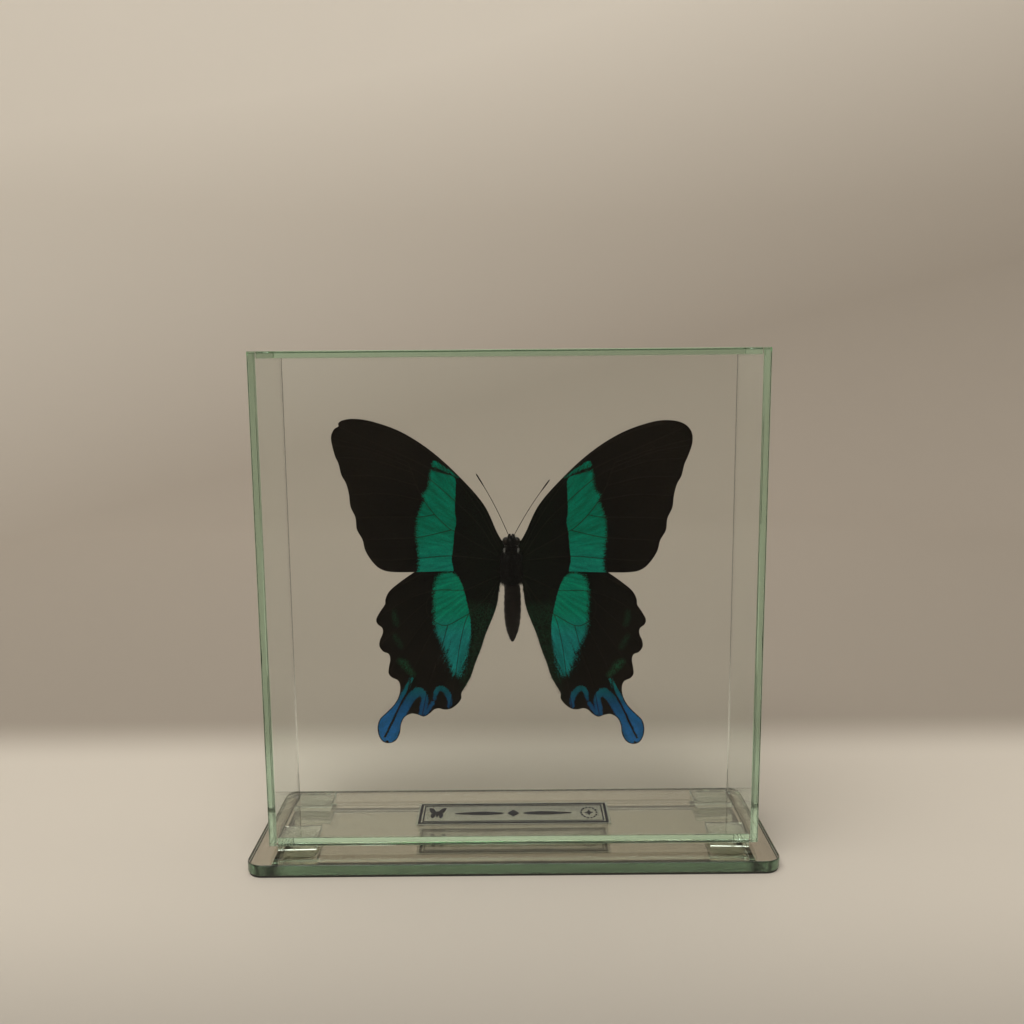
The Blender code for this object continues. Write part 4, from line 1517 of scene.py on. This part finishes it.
class SPECIMEN_OT_hair(bpy.types.Operator):
    """Grow the hair of the thorax, the head, the abdomen and the hindwings' inner edges"""

    bl_idname = "specimen.hair"
    bl_label = "Hair"

    def execute(self, context):
        looks = context.scene.specimen_body
        dark, pale = hair_keratin("hair_dark", looks.hair), hair_keratin("hair_pale_highlight", looks.tuft)
        thorax, head = bpy.data.objects["thorax_shell"], bpy.data.objects["head_capsule"]
        abdomen = bpy.data.objects["abdomen_rings"]
        coats = [  # the skin, how many hairs, seed, length and thickness in mm, how far they lie back
            ("hair_thorax", thorax, looks.hair_count, 1, 0.95, 0.028, 0.9, None),
            ("hair_head", head, 700, 2, 0.6, 0.022, -0.1, None),
            ("hair_abdomen", abdomen, 1500, 3, 0.42, 0.02, 1.6, None),
            ("hair_waist", thorax, 900, 4, 1.7, 0.03, 2.2, lambda places, _: places[:, 2] < WAIST),
        ]
        for name, skin, count, seed, length, thickness, swept, keep in coats:
            roots, ways = scatter(skin, count, seed, keep)
            chance = np.random.default_rng(seed + 10)
            ways = ways + np.array([0, 0, -swept]) + chance.normal(0, 0.2, ways.shape)
            ways /= np.linalg.norm(ways, axis=1, keepdims=True)
            ways *= length * chance.uniform(0.6, 1.2, (count, 1))
            finish(hairs(name, roots, ways, thickness, seed + 20), "body_chitin", dark)
        for side, out in SIDES.items():
            finish(hang(self.fringe(side, out)), "body_chitin", dark)
            # the pale tufts are a painted highlight
            finish(hang(self.tuft(side, out)), "body_chitin", pale)
        return {"FINISHED"}

    def fringe(self, side, out):
        """Long hair along the hindwing's inner edge."""
        edge = [(x, y) for x, y in HINDWING if x < 17.5 and -43 < y < -1]
        line = curve_through(edge, 16, False)
        chance = np.random.default_rng(5 if out > 0 else 6)
        count = 420
        chosen = line[chance.integers(0, len(line), count)]
        roots = np.column_stack([
            out * (chosen[:, 0] + chance.uniform(0.0, 0.9, count)),
            HINDWING_Y + chance.normal(0, 0.05, count),
            WING_LEVEL + chosen[:, 1],
        ])
        ways = np.column_stack([
            -out * chance.uniform(0.5, 1.0, count),
            chance.normal(0.1, 0.25, count),
            -chance.uniform(0.4, 1.3, count),
        ])
        ways *= chance.uniform(0.5, 1.0, (count, 1))
        return hairs(f"hair_fringe_{side}", roots, ways, 0.022, 7)

    def tuft(self, side, out):
        """A small pale tuft behind each eye: its pale colour is a painted highlight, light caught on the hair
        there.
        """
        chance = np.random.default_rng(8 if out > 0 else 9)
        count = 90
        roots = np.column_stack([
            out * chance.normal(2.2, 0.12, count),
            chance.normal(9.6, 0.15, count),
            chance.normal(92.9, 0.3, count),
        ])
        ways = np.column_stack([
            out * chance.normal(0.1, 0.1, count),
            -chance.uniform(0.1, 0.4, count),
            -chance.uniform(0.3, 0.7, count),
        ])
        return hairs(f"hair_tuft_{side}", roots, ways, 0.04, 11)


class SPECIMEN_OT_stage(bpy.types.Operator):
    """Set the pale round backdrop, the soft lights and the camera"""

    bl_idname = "specimen.stage"
    bl_label = "Stage"

    camera_place: bpy.props.FloatVectorProperty(
        name="Camera",
        description="Where the camera stands",
        subtype="TRANSLATION",
        unit="LENGTH",
        default=(0.0004, -0.3002, 0.1503),
    )
    pitch: angle_setting("Pitch", "How far the camera looks down", radians(8.31))
    roll: angle_setting("Roll", "How far the camera is turned clockwise", radians(-0.4845))
    floor_radius: length_setting("Floor", "Radius of the backdrop's level floor", 0.7)
    sweep: length_setting("Sweep", "Radius of the curve from the floor to the wall", 0.35)
    wall_height: length_setting("Wall", "Height of the backdrop", 1.3)

    def execute(self, context):
        looks = context.scene.specimen_stage
        self.backdrop()
        self.lights(looks)
        self.camera(context, looks)
        context.scene.view_settings.view_transform = "Standard"
        paths = context.scene.cycles  # a path through the case crosses up to thirty faces of glass
        paths.max_bounces = paths.transmission_bounces = 32
        paths.glossy_bounces = 12
        return {"FINISHED"}

    def backdrop(self):
        """A round floor that curves up into a wall on all sides."""
        steps = 12
        rings = []  # the radius and the height of each ring
        for k in range(steps + 1):
            around = pi / 2 * k / steps
            rings.append((self.floor_radius + self.sweep * sin(around), self.sweep * (1 - cos(around))))
        rings.append((self.floor_radius + self.sweep, self.wall_height))
        deselect()
        bpy.ops.mesh.primitive_circle_add(vertices=96, radius=self.floor_radius, fill_type="NGON")
        piece = newest("backdrop")
        choose(piece, "EDGE", [True] * len(piece.data.edges))
        for before, after in zip(rings, rings[1:]):
            bpy.ops.mesh.extrude_edges_move(TRANSFORM_OT_translate={"value": (0, 0, after[1] - before[1])})
            ratio = after[0] / before[0]
            bpy.ops.transform.resize(value=(ratio, ratio, 1), center_override=(0, 0, after[1]))
        bpy.ops.object.mode_set(mode="OBJECT")
        smooth(piece, 40)
        piece.data.materials.append(stage_paper())

    def lights(self, looks):
        """A soft light from all round, and a square one above, in front and to the left."""
        world = bpy.data.worlds.new("studio")
        bpy.context.scene.world = world
        world.use_nodes = True
        background = world.node_tree.nodes["Background"]
        background.inputs["Color"].default_value = linear("#FFFDFA")
        background.inputs["Strength"].default_value = looks.fill
        deselect()
        bpy.ops.object.light_add(type="AREA", location=(-0.3, -0.7, 1.3))
        key = bpy.context.active_object
        key.name = "softbox"
        key.data.shape = "SQUARE"
        key.data.size = 1.3
        key.data.energy = looks.key
        key.data.color = linear("#FFFAF3")[:3]
        case_middle = Vector((0, 0, 0.08))
        key.rotation_euler = (case_middle - key.location).to_track_quat("-Z", "Y").to_euler()

    def camera(self, context, looks):
        deselect()
        bpy.ops.object.camera_add()
        camera = context.active_object
        camera.name = "camera"
        camera.data.sensor_width = 36
        camera.data.lens = looks.lens
        camera.data.clip_start = 0.01
        tilt = Matrix.Rotation(pi / 2 - self.pitch, 4, "X") @ Matrix.Rotation(self.roll, 4, "Z")
        camera.matrix_world = Matrix.Translation(self.camera_place) @ tilt
        context.scene.camera = camera


STEPS = (
    SPECIMEN_OT_glass,
    SPECIMEN_OT_mirror,
    SPECIMEN_OT_glue,
    SPECIMEN_OT_label,
    SPECIMEN_OT_wings,
    SPECIMEN_OT_body,
    SPECIMEN_OT_feelers,
    SPECIMEN_OT_legs,
    SPECIMEN_OT_hair,
    SPECIMEN_OT_stage,
)


class SPECIMEN_PT_panel(bpy.types.Panel):
    """The steps that build the specimen, in order"""

    bl_idname = "SPECIMEN_PT_panel"
    bl_label = "Butterfly in a Glass Case"
    bl_space_type = "VIEW_3D"
    bl_region_type = "UI"
    bl_category = "Specimen"

    def draw(self, context):
        for step in STEPS:
            self.layout.operator(step.bl_idname)
        for name, group in SETTINGS.items():
            box = self.layout.box()
            for setting in group.__annotations__:
                box.prop(getattr(context.scene, name), setting)


def register():
    for name, group in SETTINGS.items():
        bpy.utils.register_class(group)
        setattr(bpy.types.Scene, name, bpy.props.PointerProperty(type=group))
    for step in (*STEPS, SPECIMEN_PT_panel):
        bpy.utils.register_class(step)


def unregister():
    for step in reversed((*STEPS, SPECIMEN_PT_panel)):
        bpy.utils.unregister_class(step)
    for name, group in reversed(SETTINGS.items()):
        delattr(bpy.types.Scene, name)
        bpy.utils.unregister_class(group)


def main():
    register()
    for step in STEPS:
        group, name = step.bl_idname.split(".")
        getattr(getattr(bpy.ops, group), name)()


if __name__ == "__main__":
    main()
